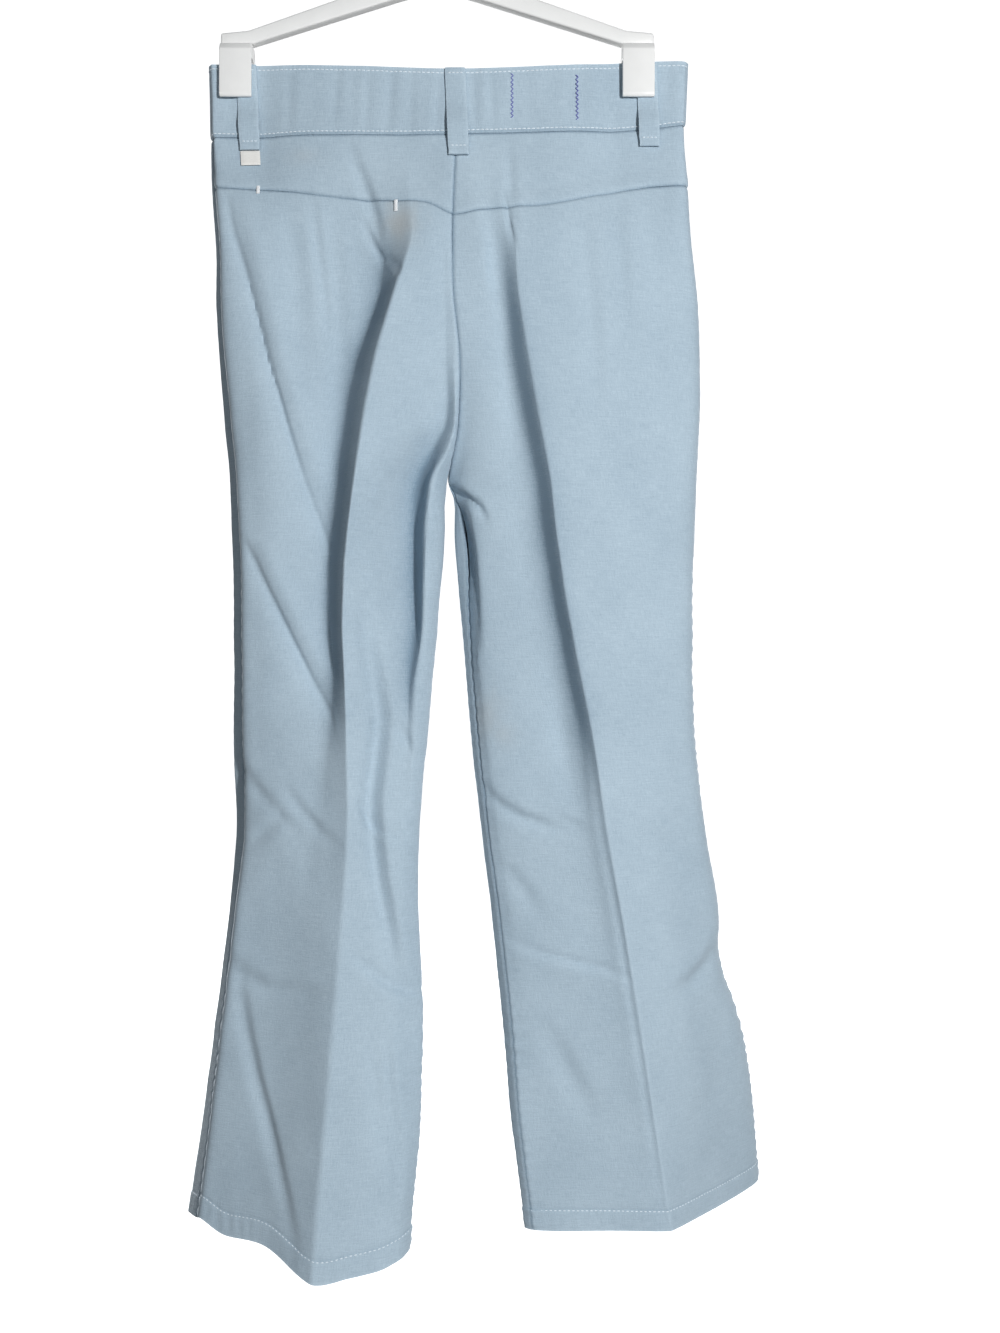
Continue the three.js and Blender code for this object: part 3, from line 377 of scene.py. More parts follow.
def along(levels, values, at):
    """A smooth curve through values at levels, straight beyond both ends."""
    levels, values = np.asarray(levels, float), np.asarray(values, float)
    last = len(levels) - 1
    spots = np.arange(last + 1)
    low, high = np.maximum(spots - 1, 0), np.minimum(spots + 1, last)
    slopes = (values[high] - values[low]) / (levels[high] - levels[low])
    i = np.clip(np.searchsorted(levels, at, side="right") - 1, 0, last - 1)
    span = levels[i + 1] - levels[i]
    t = (at - levels[i]) / span
    s = 1 - t
    curve = (values[i] * (1 + 2 * t) * s * s + slopes[i] * span * t * s * s
             + values[i + 1] * (1 + 2 * s) * t * t - slopes[i + 1] * span * s * t * t)
    before = values[0] + slopes[0] * (at - levels[0])
    after = values[-1] + slopes[-1] * (at - levels[-1])
    return np.where(at <= levels[0], before, np.where(at >= levels[-1], after, curve))


def on_line(line, x):
    return along([p[0] for p in line], [p[1] for p in line], x)


def ease(low, high, value):
    t = np.clip((value - low) / (high - low), 0, 1)
    return t * t * (3 - 2 * t)


def mix(a, b, t):
    return a + (b - a) * t


def bell(distance, width):
    return np.exp(-(distance / width) ** 2)


def seam_point(names, drop):
    """x and b of a seam. A list of two is the seam above the crotch and the one below it."""
    def one(name):
        rows = SEAMS[name]
        levels = [r[0] for r in rows]
        return np.stack([along(levels, [r[k] for r in rows], drop) for k in (1, 2)], axis=-1)
    if len(names) == 1:
        return one(names[0])
    return np.where((drop > CROTCH_DROP)[:, None], one(names[1]), one(names[0]))


def section(name, drop):
    """The guides of the level sections at each drop, as an array of guide, point and (x, b)."""
    panel = PANELS[name]
    rows = np.asarray(panel["sections"], float)
    points = [seam_point(panel["start"], drop)]
    for column in range(1, rows.shape[1], 2):
        points.append(np.stack([along(rows[:, 0], rows[:, column + k], drop) for k in (0, 1)], axis=-1))
    points.append(seam_point(panel["end"], drop))
    rise = mix(SIDE_TURN["rise_at_waist"], SIDE_TURN["rise_below"], ease(20, 130, drop))
    lift = np.stack([np.full_like(drop, SIDE_TURN["inward"]), -panel["outward"] * rise], axis=-1)
    if panel["turns_at"] == "start":
        points.insert(1, points[0] + lift)
    if panel["turns_at"] == "end":
        points.insert(-1, points[-1] + lift * (-1, 1))
    return np.stack(points)


def section_point(points, roundness, u):
    """Straight between guides, and rounded at each guide by its own share."""
    last = len(points) - 1
    n = np.arange(u.size)
    nearest = np.clip(np.rint(u).astype(int), 0, last)
    share = np.asarray(roundness)[nearest]
    offset = u - nearest
    i = np.clip(np.floor(u).astype(int), 0, last - 1)
    straight = mix(points[i, n], points[i + 1, n], (u - i)[:, None])
    middle = np.clip(nearest, 1, last - 1)
    before = mix(points[middle, n], points[middle - 1, n], share[:, None])
    after = mix(points[middle, n], points[middle + 1, n], share[:, None])
    t = ((offset + share) / (2 * share))[:, None]
    bend = before * (1 - t) ** 2 + 2 * points[middle, n] * t * (1 - t) + after * t * t
    rounded = (nearest > 0) & (nearest < last) & (np.abs(offset) < share)
    return np.where(rounded[:, None], bend, straight)


def pinch(x, drop):
    """How firmly the clips press front and back together, from 0 to 1."""
    near = [bell(np.maximum(np.abs(x - c) - CLIP_WIDTH / 2, 0), CLIP_REACH) for c in CLIP_PLACES]
    return np.maximum(*near) * (1 - ease(*PINCH_FADE, drop))


def drag_shift(name, x, drop):
    shift = np.zeros_like(x)
    for fold in (f for f in DRAG_FOLDS if f["panel"] == name):
        xs, drops = np.array(fold["run"], float).T
        t = (drop - drops[0]) / (drops[-1] - drops[0])
        fade = np.sin(math.pi * np.clip(t, 0, 1)) ** 0.6
        away = (x - np.interp(drop, drops, xs)) / fold["width"]
        shift += fold["depth"] * fade * (0.7 * np.exp(-(away - 1.5) ** 2) - np.exp(-away ** 2))
    return shift


def surface(name, u, drop):
    """Points of a panel's outer face, in millimetres."""
    u, drop = np.broadcast_arrays(np.asarray(u, float), np.asarray(drop, float))
    shape, u, drop = u.shape, u.ravel(), drop.ravel()
    panel = PANELS[name]
    x, b = section_point(section(name, drop), panel["round"], u).T
    b = b + drag_shift(name, x, drop)
    side = -panel["outward"]
    pressed = side * mix(b * side, CLIP_CLOTH, pinch(x, drop))
    b = np.where(b * side > CLIP_CLOTH, pressed, b)
    points = np.stack([x + MIDDLE_RIGHT_OF_HOOK, -b, -WAIST_BELOW_HOOK - drop], axis=-1)
    return points.reshape(*shape, 3)


def unit(vectors):
    return vectors / np.maximum(np.linalg.norm(vectors, axis=-1, keepdims=True), 1e-9)


def face_normal(name, u, drop):
    u, drop = np.broadcast_arrays(np.asarray(u, float), np.asarray(drop, float))
    last = len(PANELS[name]["guides"]) - 1
    across = surface(name, np.minimum(u + 0.04, last), drop) - surface(name, np.maximum(u - 0.04, 0), drop)
    down = surface(name, u, drop + 1.5) - surface(name, u, drop - 1.5)
    return unit(np.cross(across, down)) * PANELS[name]["outward"]


BESIDE = {
    ("back_left", "start"): [("front_left", "start")],
    ("back_left", "end"): [("back_right", "start"), ("front_left", "end")],
    ("back_right", "start"): [("back_left", "end"), ("front_right", "start")],
    ("back_right", "end"): [("front_right", "end")],
    ("front_left", "start"): [("back_left", "start")],
    ("front_left", "end"): [("front_right", "start"), ("back_left", "end")],
    ("front_right", "start"): [("front_left", "end"), ("back_right", "start")],
    ("front_right", "end"): [("back_right", "end")],
}


def seam_normal(name, edge, drop):
    """The outward direction at a panel's edge, with the panel beside it taken in."""
    last = {n: len(p["guides"]) - 1 for n, p in PANELS.items()}
    out = face_normal(name, 0 if edge == "start" else last[name], drop)
    beside = BESIDE[name, edge]
    lower = ease(CROTCH_DROP - 12, CROTCH_DROP + 12, drop)[:, None] if len(beside) > 1 else 0
    for i, (other, end) in enumerate(beside):
        share = 1 - lower if i == 0 else lower
        out = out + share * face_normal(other, 0 if end == "start" else last[other], drop)
    return unit(out)


def row_on(panels, xs, drop, lift=0.0):
    """Points at one drop and many x, lifted off the back or front, with their outward directions."""
    xs = np.asarray(xs, float)
    parts = []
    for name in panels:
        u = np.linspace(0, len(PANELS[name]["guides"]) - 1, 300)
        across = surface(name, u, np.full_like(u, drop))[:, 0] - MIDDLE_RIGHT_OF_HOOK
        parts.append((name, u, np.maximum.accumulate(across)))
    points, outs = np.zeros((len(xs), 3)), np.zeros((len(xs), 3))
    for i, (name, u, across) in enumerate(parts):
        mine = xs < parts[0][2][-1] if i == 0 else xs >= parts[0][2][-1]
        if mine.any():
            place = np.interp(xs[mine], across, u)
            drops = np.full_like(place, drop)
            points[mine], outs[mine] = surface(name, place, drops), face_normal(name, place, drops)
    return points + outs * lift, outs


def point_on(panels, x, drop, lift=0.0):
    """One point on the cloth at (x, drop), lifted off it, and the outward direction there."""
    points, outs = row_on(panels, [x], float(drop), lift)
    return points[0], outs[0]


def seam_drop(line, guess):
    def drop(name, u):
        x = surface(name, u, np.full_like(np.asarray(u, float), guess))[..., 0] - MIDDLE_RIGHT_OF_HOOK
        return on_line(line, x)
    return drop


top_edge = seam_drop(TOP_EDGE, 2)
band_seam = seam_drop(BAND_SEAM, 50)
yoke_seam = seam_drop(YOKE_SEAM, 100)


def hem_edge(name, u):
    hem = PANELS[name]["hem"]
    return along(range(len(hem)), hem, np.asarray(u, float))


def soft_noise(seed, x, y, size_x, size_y):
    """Smooth seeded noise from -1 to 1 over a lattice of size_x by size_y millimetres."""
    lattice = np.random.default_rng(seed).uniform(-1, 1, (64, 64))
    gx, gy = x / size_x + 1000, y / size_y + 1000
    ix, iy = np.floor(gx).astype(int), np.floor(gy).astype(int)
    tx, ty = ease(0, 1, gx - ix), ease(0, 1, gy - iy)

    def corner(dx, dy):
        return lattice[(ix + dx) % 64, (iy + dy) % 64]

    return mix(mix(corner(0, 0), corner(1, 0), tx), mix(corner(0, 1), corner(1, 1), tx), ty)


def uneven(rows, x, drop):
    """The sum of the soft noises in a table."""
    return sum(height * soft_noise(seed, x, drop, across, down) for height, seed, across, down in rows)


def crease_height(name, x, drop):
    """The height that the small listed creases add, each a trough with a lip on one side."""
    height = np.zeros_like(x)
    for crease in (dict(zip(CREASE_COLUMNS, row)) for row in CREASES[name]):
        run = np.array(crease["run"], float)
        lengths = np.linalg.norm(np.diff(run, axis=0), axis=1)
        total, so_far = lengths.sum(), 0.0
        best = np.full_like(x, 1e9)
        signed, place = np.zeros_like(x), np.zeros_like(x)
        for start, step, length in zip(run[:-1], np.diff(run, axis=0), lengths):
            way = step / length
            px, py = x - start[0], drop - start[1]
            t = np.clip(px * way[0] + py * way[1], 0, length)
            gap = np.hypot(px - t * way[0], py - t * way[1])
            nearer = gap < best
            side = np.sign(px * way[1] - py * way[0])
            best = np.where(nearer, gap, best)
            signed = np.where(nearer, gap * side, signed)
            place = np.where(nearer, (so_far + t) / total, place)
            so_far += length
        open_end = CREASE_FORM["open_end"]
        fade = np.sin(math.pi * mix(open_end, 1 - open_end, place)) ** CREASE_FORM["fade"]
        near, far = CREASE_FORM["reach"]
        within = 1 - ease(near, far + 2 * crease["soft"], best / crease["width"])
        away = crease["side"] * signed / crease["width"]
        fall = np.exp(-np.maximum(away - CREASE_FORM["lip"], 0) / crease["soft"])
        shape = crease["lean"] * ease(0, CREASE_FORM["rise"], away) * fall - bell(away, 1)
        height += crease["depth"] * fade * within * shape
    return height


def puckers(x, drop, from_side, from_bottom):
    """Gathered ripples beside the sewn seams, as uneven as the sewing leaves them."""
    level = np.zeros_like(drop)
    ripple = np.sin(2 * math.pi * (drop + 4 * soft_noise(31, drop, level, 40, 40)) / SIDE_PUCKER["pitch"])
    thigh = ease(*SIDE_PUCKER["thigh_from"], drop) * (1 - ease(*SIDE_PUCKER["thigh_to"], drop))
    calf = ease(*SIDE_PUCKER["calf_from"], drop)
    strength = SIDE_PUCKER["thigh"] * thigh + SIDE_PUCKER["calf"] * calf + SIDE_PUCKER["least"]
    share = 0.6 + 0.4 * soft_noise(32, drop, level, 55, 40)
    side = bell(from_side, SIDE_PUCKER["reach"]) * strength * ripple * share
    waves = np.sin(2 * math.pi * (x + 3 * soft_noise(33, x, drop, 30, 30)) / HEM_PUCKER["pitch"])
    hem = bell(from_bottom - HEM_PUCKER["middle"], HEM_PUCKER["reach"]) * HEM_PUCKER["height"] * waves
    return side + hem * (0.5 + 0.5 * soft_noise(34, x, drop, 40, 90))


def leg_relief(name, x, drop, from_side, from_top, from_bottom):
    """How far the cloth of a leg stands off its plain form, in millimetres."""
    turned_up = HEM_FOLD["thick"] * (1 - ease(HEM_DEPTH - 0.8, HEM_DEPTH + 1.2, from_bottom))
    groove = HEM_FOLD["groove"] * bell(from_bottom - HEM_DEPTH - HEM_FOLD["below"], HEM_FOLD["width"])
    height = crease_height(name, x, drop) + puckers(x, drop, from_side, from_bottom)
    return height + uneven(LEG_NOISE, x, drop) + turned_up - groove - dips(from_side, from_top)


def yoke_relief(name, x, drop, from_side, from_top, from_bottom):
    """The same for a yoke, whose seam allowance shows as a low ridge above the yoke seam."""
    ridge = YOKE_RIDGE["height"] * np.exp(-((from_bottom - YOKE_RIDGE["middle"]) / YOKE_RIDGE["width"]) ** 4)
    height = uneven(YOKE_NOISE, x, drop) + ridge + crease_height(name, x, drop)
    return height - dips(from_side, from_top, from_bottom)


def band_relief(name, x, drop, from_side, from_top, from_bottom):
    """The same for the waistband, gathered by its elastic at the back."""
    middle = np.sin(math.pi * np.clip(from_top / np.maximum(from_top + from_bottom, 1), 0, 1)) ** 0.5
    height = BAND_PROUD + uneven(BAND_NOISE, x, drop)
    if name in BACK:
        depth = np.zeros_like(x)
        for place, share in GATHERS:
            lean = GATHER["lean"] * (drop - GATHER["middle"]) * math.copysign(1, place)
            depth += share * bell(x - place - lean, GATHER["width"])
        height = height + middle * (uneven(ELASTIC_NOISE, x, drop) - GATHER["depth"] * depth)
    for line in BAND_LINES["top"]:
        height = height - BAND_LINES["top_depth"] * bell(from_top - line, BAND_LINES["top_width"])
    low_line = bell(from_bottom - BAND_LINES["bottom"], BAND_LINES["bottom_width"])
    return height - BAND_LINES["bottom_depth"] * low_line - dips(from_bottom)


def dips(*distances):
    """The shallow groove of a sewn seam, from the distances to it."""
    return sum(SEAM_DIP["depth"] * bell(d, SEAM_DIP["width"]) for d in distances)


def columns_of(name, step):
    """Places across a panel: never wider than step, one on each guide and more where it bends sharply."""
    panel = PANELS[name]
    levels = np.linspace(0, CLOTH_LENGTH, 12)[:, None]
    spots = [np.array([len(panel["guides"]) - 1.0])]
    for i in range(len(panel["guides"]) - 1):
        rows = surface(name, np.linspace(i, i + 1, 9)[None, :], levels)
        widest = np.linalg.norm(np.diff(rows, axis=1), axis=-1).sum(axis=1).max()
        spots.append(np.linspace(i, i + 1, max(2, math.ceil(widest / step)), endpoint=False))
    for i, share in enumerate(panel["round"]):
        if share < SHARP_ROUND:
            spots.append(i + share * np.array([-1, -0.6, -0.3, 0.3, 0.6, 1]))
    return np.unique(np.round(np.concatenate(spots), 4))


def rows_of(height, step):
    """Places down a piece as shares of its height, closer near both ends."""
    edge = np.array([0, 0.4, 1.0, 1.8, 2.8]) / height
    middle = np.linspace(edge[-1], 1 - edge[-1], max(3, math.ceil(height / step)))
    return np.unique(np.concatenate([edge, middle, 1 - edge]))


def hem_rows(height, step):
    near = np.array([HEM_DEPTH - 1.5, HEM_DEPTH - 0.5, HEM_DEPTH + 0.3, HEM_DEPTH + 1.1, HEM_DEPTH + 2.2])
    return np.unique(np.concatenate([rows_of(height, step), 1 - near / height]))


def cloth_grid(name, top, bottom, rows, relief, step):
    """The outer points, normals and places of one piece of cloth on one panel."""
    u = columns_of(name, step)
    high, low = top(name, u) + SEAM_GAP / 2, bottom(name, u) - SEAM_GAP / 2
    drop = high + (low - high) * rows[:, None]
    flat = surface(name, u[None, :], drop)
    steps = np.linalg.norm(np.diff(flat, axis=1), axis=-1)
    from_start = np.concatenate([np.zeros((len(rows), 1)), np.cumsum(steps, axis=1)], axis=1)
    from_end = from_start[:, -1:] - from_start
    normal = face_normal(name, u[None, :], drop)
    for edge, distance, column in (("start", from_start, 0), ("end", from_end, -1)):
        blend = 1 - ease(0, EDGE_BLEND, distance)[..., None]
        normal = unit(mix(normal, seam_normal(name, edge, drop[:, column])[:, None, :], blend))
    flat[:, 0] += unit(flat[:, 1] - flat[:, 0]) * SEAM_GAP / 2
    flat[:, -1] += unit(flat[:, -2] - flat[:, -1]) * SEAM_GAP / 2
    x = flat[..., 0] - MIDDLE_RIGHT_OF_HOOK
    from_side = np.minimum(from_start, from_end)
    places = {"x": x, "drop": drop, "from_side": from_side, "from_top": drop - high,
              "from_bottom": low - drop}
    outer = flat + normal * relief(name, **places)[..., None]
    places["u"] = np.broadcast_to(u[None, :], drop.shape)
    crease = PANELS[name]["guides"].index("crease")
    start = from_start[:, [int(np.argmin(np.abs(u - crease)))]]
    places["weave"] = from_start - start
    return outer, normal, places


def join_grids(grids):
    """Two panels' grids side by side as one piece, with one column less at their seam."""
    first, second = grids
    outer = np.concatenate([first[0], second[0][:, 1:]], axis=1)
    normal = np.concatenate([first[1], second[1][:, 1:]], axis=1)
    across = first[2]["weave"][:, -1:] - second[2]["weave"][:, :1]
    second[2]["weave"] = second[2]["weave"] + across
    places = {key: np.concatenate([first[2][key], second[2][key][:, 1:]], axis=1) for key in first[2]}
    return outer, normal, places


# Meshes

def quads(ids):
    return np.stack([ids[:-1, :-1], ids[:-1, 1:], ids[1:, 1:], ids[1:, :-1]], axis=-1).reshape(-1, 4)


def add_object(name, points, faces, finish, attributes=None, sharp=48):
    """A mesh object from points in millimetres, at the origin, smooth but for edges sharper than an angle."""
    mesh = bpy.data.meshes.new(name)
    mesh.from_pydata((np.asarray(points) * MM).tolist(), [], [list(face) for face in faces])
    mesh.polygons.foreach_set("use_smooth", np.ones(len(mesh.polygons), bool))
    mesh.set_sharp_from_angle(angle=math.radians(sharp))
    for key, values in (attributes or {}).items():
        kind, field = ("FLOAT_VECTOR", "vector") if values.ndim == 2 else ("FLOAT", "value")
        layer = mesh.attributes.new(key, kind, "POINT")
        layer.data.foreach_set(field, values.ravel().astype(np.float32))
    mesh.materials.append(finish)
    mesh.validate()
    made = bpy.data.objects.new(name, mesh)
    bpy.context.scene.collection.objects.link(made)
    return made


def shell(name, outer, inner, finish, attributes):
    """A closed thin sheet between two grids of points."""
    rows, columns = outer.shape[:2]
    count = rows * columns
    ids = np.arange(count).reshape(rows, columns)
    around = np.concatenate([ids[0, :], ids[1:, -1], ids[-1, -2::-1], ids[-2:0:-1, 0]])
    onward = np.roll(around, -1)
    rim = np.stack([onward, around, around + count, onward + count], axis=-1)
    faces = np.concatenate([quads(ids), quads(ids + count)[:, ::-1], rim])
    down = outer[rows // 2 + 1, columns // 2] - outer[rows // 2, columns // 2]
    across = outer[rows // 2, columns // 2 + 1] - outer[rows // 2, columns // 2]
    if np.dot(np.cross(across, down), (outer - inner)[rows // 2, columns // 2]) > 0:
        faces = faces[:, ::-1]
    points = np.concatenate([outer.reshape(-1, 3), inner.reshape(-1, 3)])
    doubled = {key: np.concatenate([v.reshape(count, -1)] * 2).squeeze() for key, v in attributes.items()}
    return add_object(name, points, faces, finish, doubled)


def sheet_size(outer):
    """Width, length and area of a piece of cloth laid flat, in metres, from its grid of points."""
    across = np.linalg.norm(np.diff(outer, axis=1), axis=-1).sum(axis=1).max() * MM
    along_it = np.linalg.norm(np.diff(outer, axis=0), axis=-1).sum(axis=0).max() * MM
    a, b = outer[1:, 1:] - outer[:-1, :-1], outer[1:, :-1] - outer[:-1, 1:]
    area = 0.5 * np.linalg.norm(np.cross(a, b), axis=-1).sum() * MM * MM
    return (float(across), float(along_it)), float(min(area, across * along_it))


def fold_shade_share(places, name):
    """How much painted shade each point of a leg gets from the steep folds, from 0 to 1."""
    u, drop = places["u"], places["drop"]
    depth = np.zeros_like(u)
    for guide, width, fade_in, fade_out in PAINTED_FOLD_SHADE.get(name, []):
        depth = np.maximum(depth, bell(u - guide, width) * ease(*fade_in, drop) * (1 - ease(*fade_out, drop)))
    return depth


def wear_and_shade(places, name, piece):
    """Tone over a piece: paler from wear on its standing crease and folded edges, and painted shade that
    darkens its seams, grooves and deep folds.
    """
    # Painted shade: the leg's tone is darkened in its steep folds.
    tone = FOLD_SHADE_TONE * fold_shade_share(places, name) if piece == "leg" else np.zeros_like(places["x"])
    for kinds, key, middle, width, amount in WEAR_AND_SEAM_SHADE:
        if piece in kinds.split():
            tone += amount * bell(places[key] - middle, width)
    return tone


def stains(places, name):
    strength = np.zeros_like(places["x"])
    for panel, x, drop, wide, tall, share in STAINS:
        if panel == name:
            spread = ((places["x"] - x) / wide) ** 2 + ((places["drop"] - drop) / tall) ** 2
            ragged = 1 + 0.5 * soft_noise(21, places["x"], places["drop"], 5, 6)
            strength = np.maximum(strength, share * np.exp(-spread * ragged))
    return strength


def stands_for(made, node):
    """Hides a piece's solid and ties the piece to the root body."""
    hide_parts(node)
    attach(made, "root")


def is_sheet(outer):
    """Measures a cloth piece's outer face laid flat; the measure is not used."""
    flat, area = sheet_size(outer)


def cloth_piece(name, panels, kind, top, bottom, wall=SHELL):
    """Builds one cut piece of cloth in place of its solid."""
    relief = {"leg": leg_relief, "yoke": yoke_relief, "band": band_relief}[kind]
    make_rows = hem_rows if kind == "leg" else rows_of
    steps = bpy.context.scene.trousers_cloth
    sample = np.array([2.0])
    height = float((bottom(panels[0], sample) - top(panels[0], sample))[0])
    rows = make_rows(height, steps.row_step / MM)
    grids = [cloth_grid(p, top, bottom, rows, relief, steps.column_step / MM) for p in panels]
    outer, normal, places = grids[0] if len(grids) == 1 else join_grids(grids)
    weave = np.stack([places["weave"], places["drop"], np.zeros_like(places["x"])], axis=-1)
    marks = stains(places, name)
    tone = wear_and_shade(places, name, kind)
    made = shell(name + "_cloth", outer, outer - normal * wall, finish("cloth"),
                 {"weave": weave, "tone": tone, "stain": marks})
    stands_for(made, name)
    is_sheet(outer)


def strap(name, panels, rows, width, wall, finish_name, across=10, crown=0.3):
    """A strip laid over the cloth: rows of (drop, x of its middle, height, share of its width)."""
    outer, inner, weave = [], [], []
    spots = np.linspace(-1, 1, across + 1)
    thick = wall * (1 - crown * np.abs(spots) ** 6)[:, None]
    for drop, middle, height, share in rows:
        line, outs = row_on(panels, middle + width * share * spots / 2, drop)
        out = unit(outs.mean(axis=0))
        inner.append(line + out * height)
        outer.append(line + out * (height + thick))
        weave.append(np.stack([spots * width / 2, np.full_like(spots, drop), np.zeros_like(spots)], axis=-1))
    outer, inner = np.array(outer), np.array(inner)
    ends = np.abs(np.linspace(-1, 1, len(rows)))[:, None, None] ** 16
    outer = inner + (outer - inner) * (1 - crown * ends)
    edge = 0.3 * bell((1 - np.abs(spots)) * width / 2, 1.2)
    tone = np.broadcast_to(edge, outer.shape[:2])
    made = shell(name, outer, inner, finish(finish_name),
                 {"weave": np.array(weave), "tone": tone, "stain": np.zeros_like(tone)})
    return made, outer


def thread_mesh(name, runs, radius, finish_name, sides=6):
    """Joins short bent capsules of thread. A run is a list of points with the cloth's outward direction."""
    points, faces = [], []
    for run, out in runs:
        run = np.asarray(run, float)
        way = unit(np.gradient(run, axis=0))
        side = unit(np.cross(way, out))
        up = np.cross(side, way)
        fat = np.sin(math.pi * np.linspace(0.08, 0.92, len(run))) ** 0.4
        turn = np.linspace(0, 2 * math.pi, sides, endpoint=False)
        ring = (np.cos(turn)[None, :, None] * side[:, None, :] + np.sin(turn)[None, :, None] * up[:, None, :])
        base = sum(len(p) for p in points)
        points.append((run[:, None, :] + ring * radius * fat[:, None, None]).reshape(-1, 3))
        ids = base + np.arange(len(run) * sides).reshape(len(run), sides)
        around = np.concatenate([ids, ids[:, :1]], axis=1)
        faces += quads(around)[:, ::-1].tolist()
        faces += [ids[0].tolist(), ids[-1][::-1].tolist()]
    made = add_object(name, np.concatenate(points), faces, finish(finish_name), sharp=80)
    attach(made, "root")
    return made


def stitch_line(path, out, length, gap, lift=STITCH_LIFT["flat"]):
    """Cuts a path on the cloth into stitches whose ends dip in."""
    along_path = np.concatenate([[0], np.cumsum(np.linalg.norm(np.diff(path, axis=0), axis=1))])
    runs = []
    for start in np.arange(gap, along_path[-1] - length, length + gap):
        at = start + length * np.linspace(0, 1, 5)
        points = np.stack([np.interp(at, along_path, path[:, k]) for k in range(3)], axis=-1)
        ways = unit(np.stack([np.interp(at, along_path, out[:, k]) for k in range(3)], axis=-1))
        rise = lift + STITCH_LIFT["bow"] * (np.sin(math.pi * np.linspace(0, 1, 5)) ** 0.5 - 1)
        runs.append((points + ways * rise[:, None], ways))
    return runs


def seam_path(name, relief, level, top, bottom):
    """A line across a panel at a level given by a function, on the cloth's own relief."""
    u = np.linspace(0, len(PANELS[name]["guides"]) - 1, 260)
    drop = level(name, u)
    flat = surface(name, u, drop)
    out = face_normal(name, u, drop)
    x = flat[:, 0] - MIDDLE_RIGHT_OF_HOOK
    places = {"x": x, "drop": drop, "from_side": np.full_like(x, 50.0),
              "from_top": drop - top(name, u), "from_bottom": bottom(name, u) - drop}
    return flat + out * relief(name, **places)[:, None], out


# Finishes

class Wire:
    """A shader socket whose operators add the matching Math nodes."""

    def __init__(self, build, socket):
        self.build, self.socket = build, socket

    def math(self, operation, *values, **settings):
        settings["operation"] = operation
        return self.build.node("ShaderNodeMath", settings, dict(enumerate(values)))

    def __add__(self, other):
        return self.math("ADD", self, other)

    __radd__ = __add__

    def __sub__(self, other):
        return self.math("SUBTRACT", self, other)

    def __rsub__(self, other):
        return self.math("SUBTRACT", other, self)

    def __mul__(self, other):
        return self.math("MULTIPLY", self, other)

    __rmul__ = __mul__

    def clamped(self):
        return self.math("ADD", self, 0.0, use_clamp=True)


class Finish:
    """A material on one Principled shader. Fixed values are set on the shader's own sockets."""

    def __init__(self, name, **fixed):
        self.material = bpy.data.materials.new(name)
        self.material.use_nodes = True
        self.tree = self.material.node_tree
        self.shader = self.tree.nodes["Principled BSDF"]
        for socket, value in fixed.items():
            self.shader.inputs[socket.replace("_", " ")].default_value = value

    def node(self, kind, settings=None, values=None, out=0):
        made = self.tree.nodes.new(kind)
        for key, value in (settings or {}).items():
            setattr(made, key, value)
        for key, value in (values or {}).items():
            self.feed(made.inputs[key], value)
        return Wire(self, made.outputs[out])

    def feed(self, socket, value):
        if isinstance(value, Wire):
            self.tree.links.new(value.socket, socket)
        else:
            socket.default_value = value

    def surface(self, **values):
        for key, value in values.items():
            self.feed(self.shader.inputs[key.replace("_", " ")], value)

    def attribute(self, name, out="Fac"):
        return self.node("ShaderNodeAttribute", {"attribute_name": name}, out=out)

    def mixed(self, share, first, second):
        return self.node("ShaderNodeMix", {"data_type": "RGBA"}, {0: share, 6: first, 7: second}, out=2)

    def noise(self, place, size, detail=1.0, shift=0.0):
        """Noise from -0.5 to 0.5 whose grains have a size across and down, in the place's own unit."""
        scaled = self.node("ShaderNodeVectorMath", {"operation": "MULTIPLY_ADD"},
                           {0: place, 1: (1 / size[0], 1 / size[1], 1 / size[-1]), 2: (shift, shift, shift)})
        return self.node("ShaderNodeTexNoise", None, {"Vector": scaled, "Scale": 1.0, "Detail": detail}) - 0.5

    def bumped(self, height, distance, strength=1.0):
        values = {"Strength": strength, "Distance": distance, "Height": height}
        self.surface(Normal=self.node("ShaderNodeBump", None, values))


def rgba(colour, share=1.0):
    return (*(min(c * share, 1.0) for c in colour), 1.0)


def cloth_finish():
    """Light blue slub cloth: uneven threads across, finer ones down, soft cloudy wear and faint stains."""
    look = bpy.context.scene.trousers_cloth
    made = Finish("blue_slub_cloth", Roughness=0.88, Sheen_Weight=0.18, Sheen_Roughness=0.5,
                  Specular_IOR_Level=0.22)
    place = made.attribute("weave", out="Vector")
    slubs = made.noise(place, (13.0, 0.95, 1.0), detail=2.0)
    fine = made.noise(place, (3.5, 0.55, 1.0), detail=1.0, shift=7.0)
    warp = made.noise(place, (0.8, 7.0, 1.0), detail=1.5, shift=19.0)
    grain = made.noise(place, (0.9, 0.9, 1.0), detail=1.0, shift=31.0)
    cloud = made.noise(place, (42.0, 60.0, 1.0), detail=2.0, shift=43.0)
    threads = slubs * 0.8 + fine * 0.5 + warp * 0.8 + grain * 0.8
    # The tone attribute lightens the colour for wear and darkens it as painted shade in the seams, grooves
    # and deep folds.
    shade = threads * look.slub + cloud * 0.24 + made.attribute("tone") * 0.38 + 0.5
    colour = made.mixed(shade.clamped(), rgba(look.deep), rgba(look.pale))
    stained = made.mixed(made.attribute("stain").clamped(), colour, rgba(look.stain))
    made.surface(Base_Color=stained)
    made.bumped(threads, 0.00028, look.bump)
    return made.material


def thread_finish(name, colour):
    made = Finish(name, Roughness=0.6, Sheen_Weight=0.15)
    place = made.node("ShaderNodeTexCoord", out="Object")
    shade = made.noise(place, (0.0008, 0.0008, 0.0008), detail=1.0)
    made.surface(Base_Color=made.mixed((shade * 0.8 + 0.5).clamped(), rgba(colour, 0.8), rgba(colour, 1.15)))
    return made.material


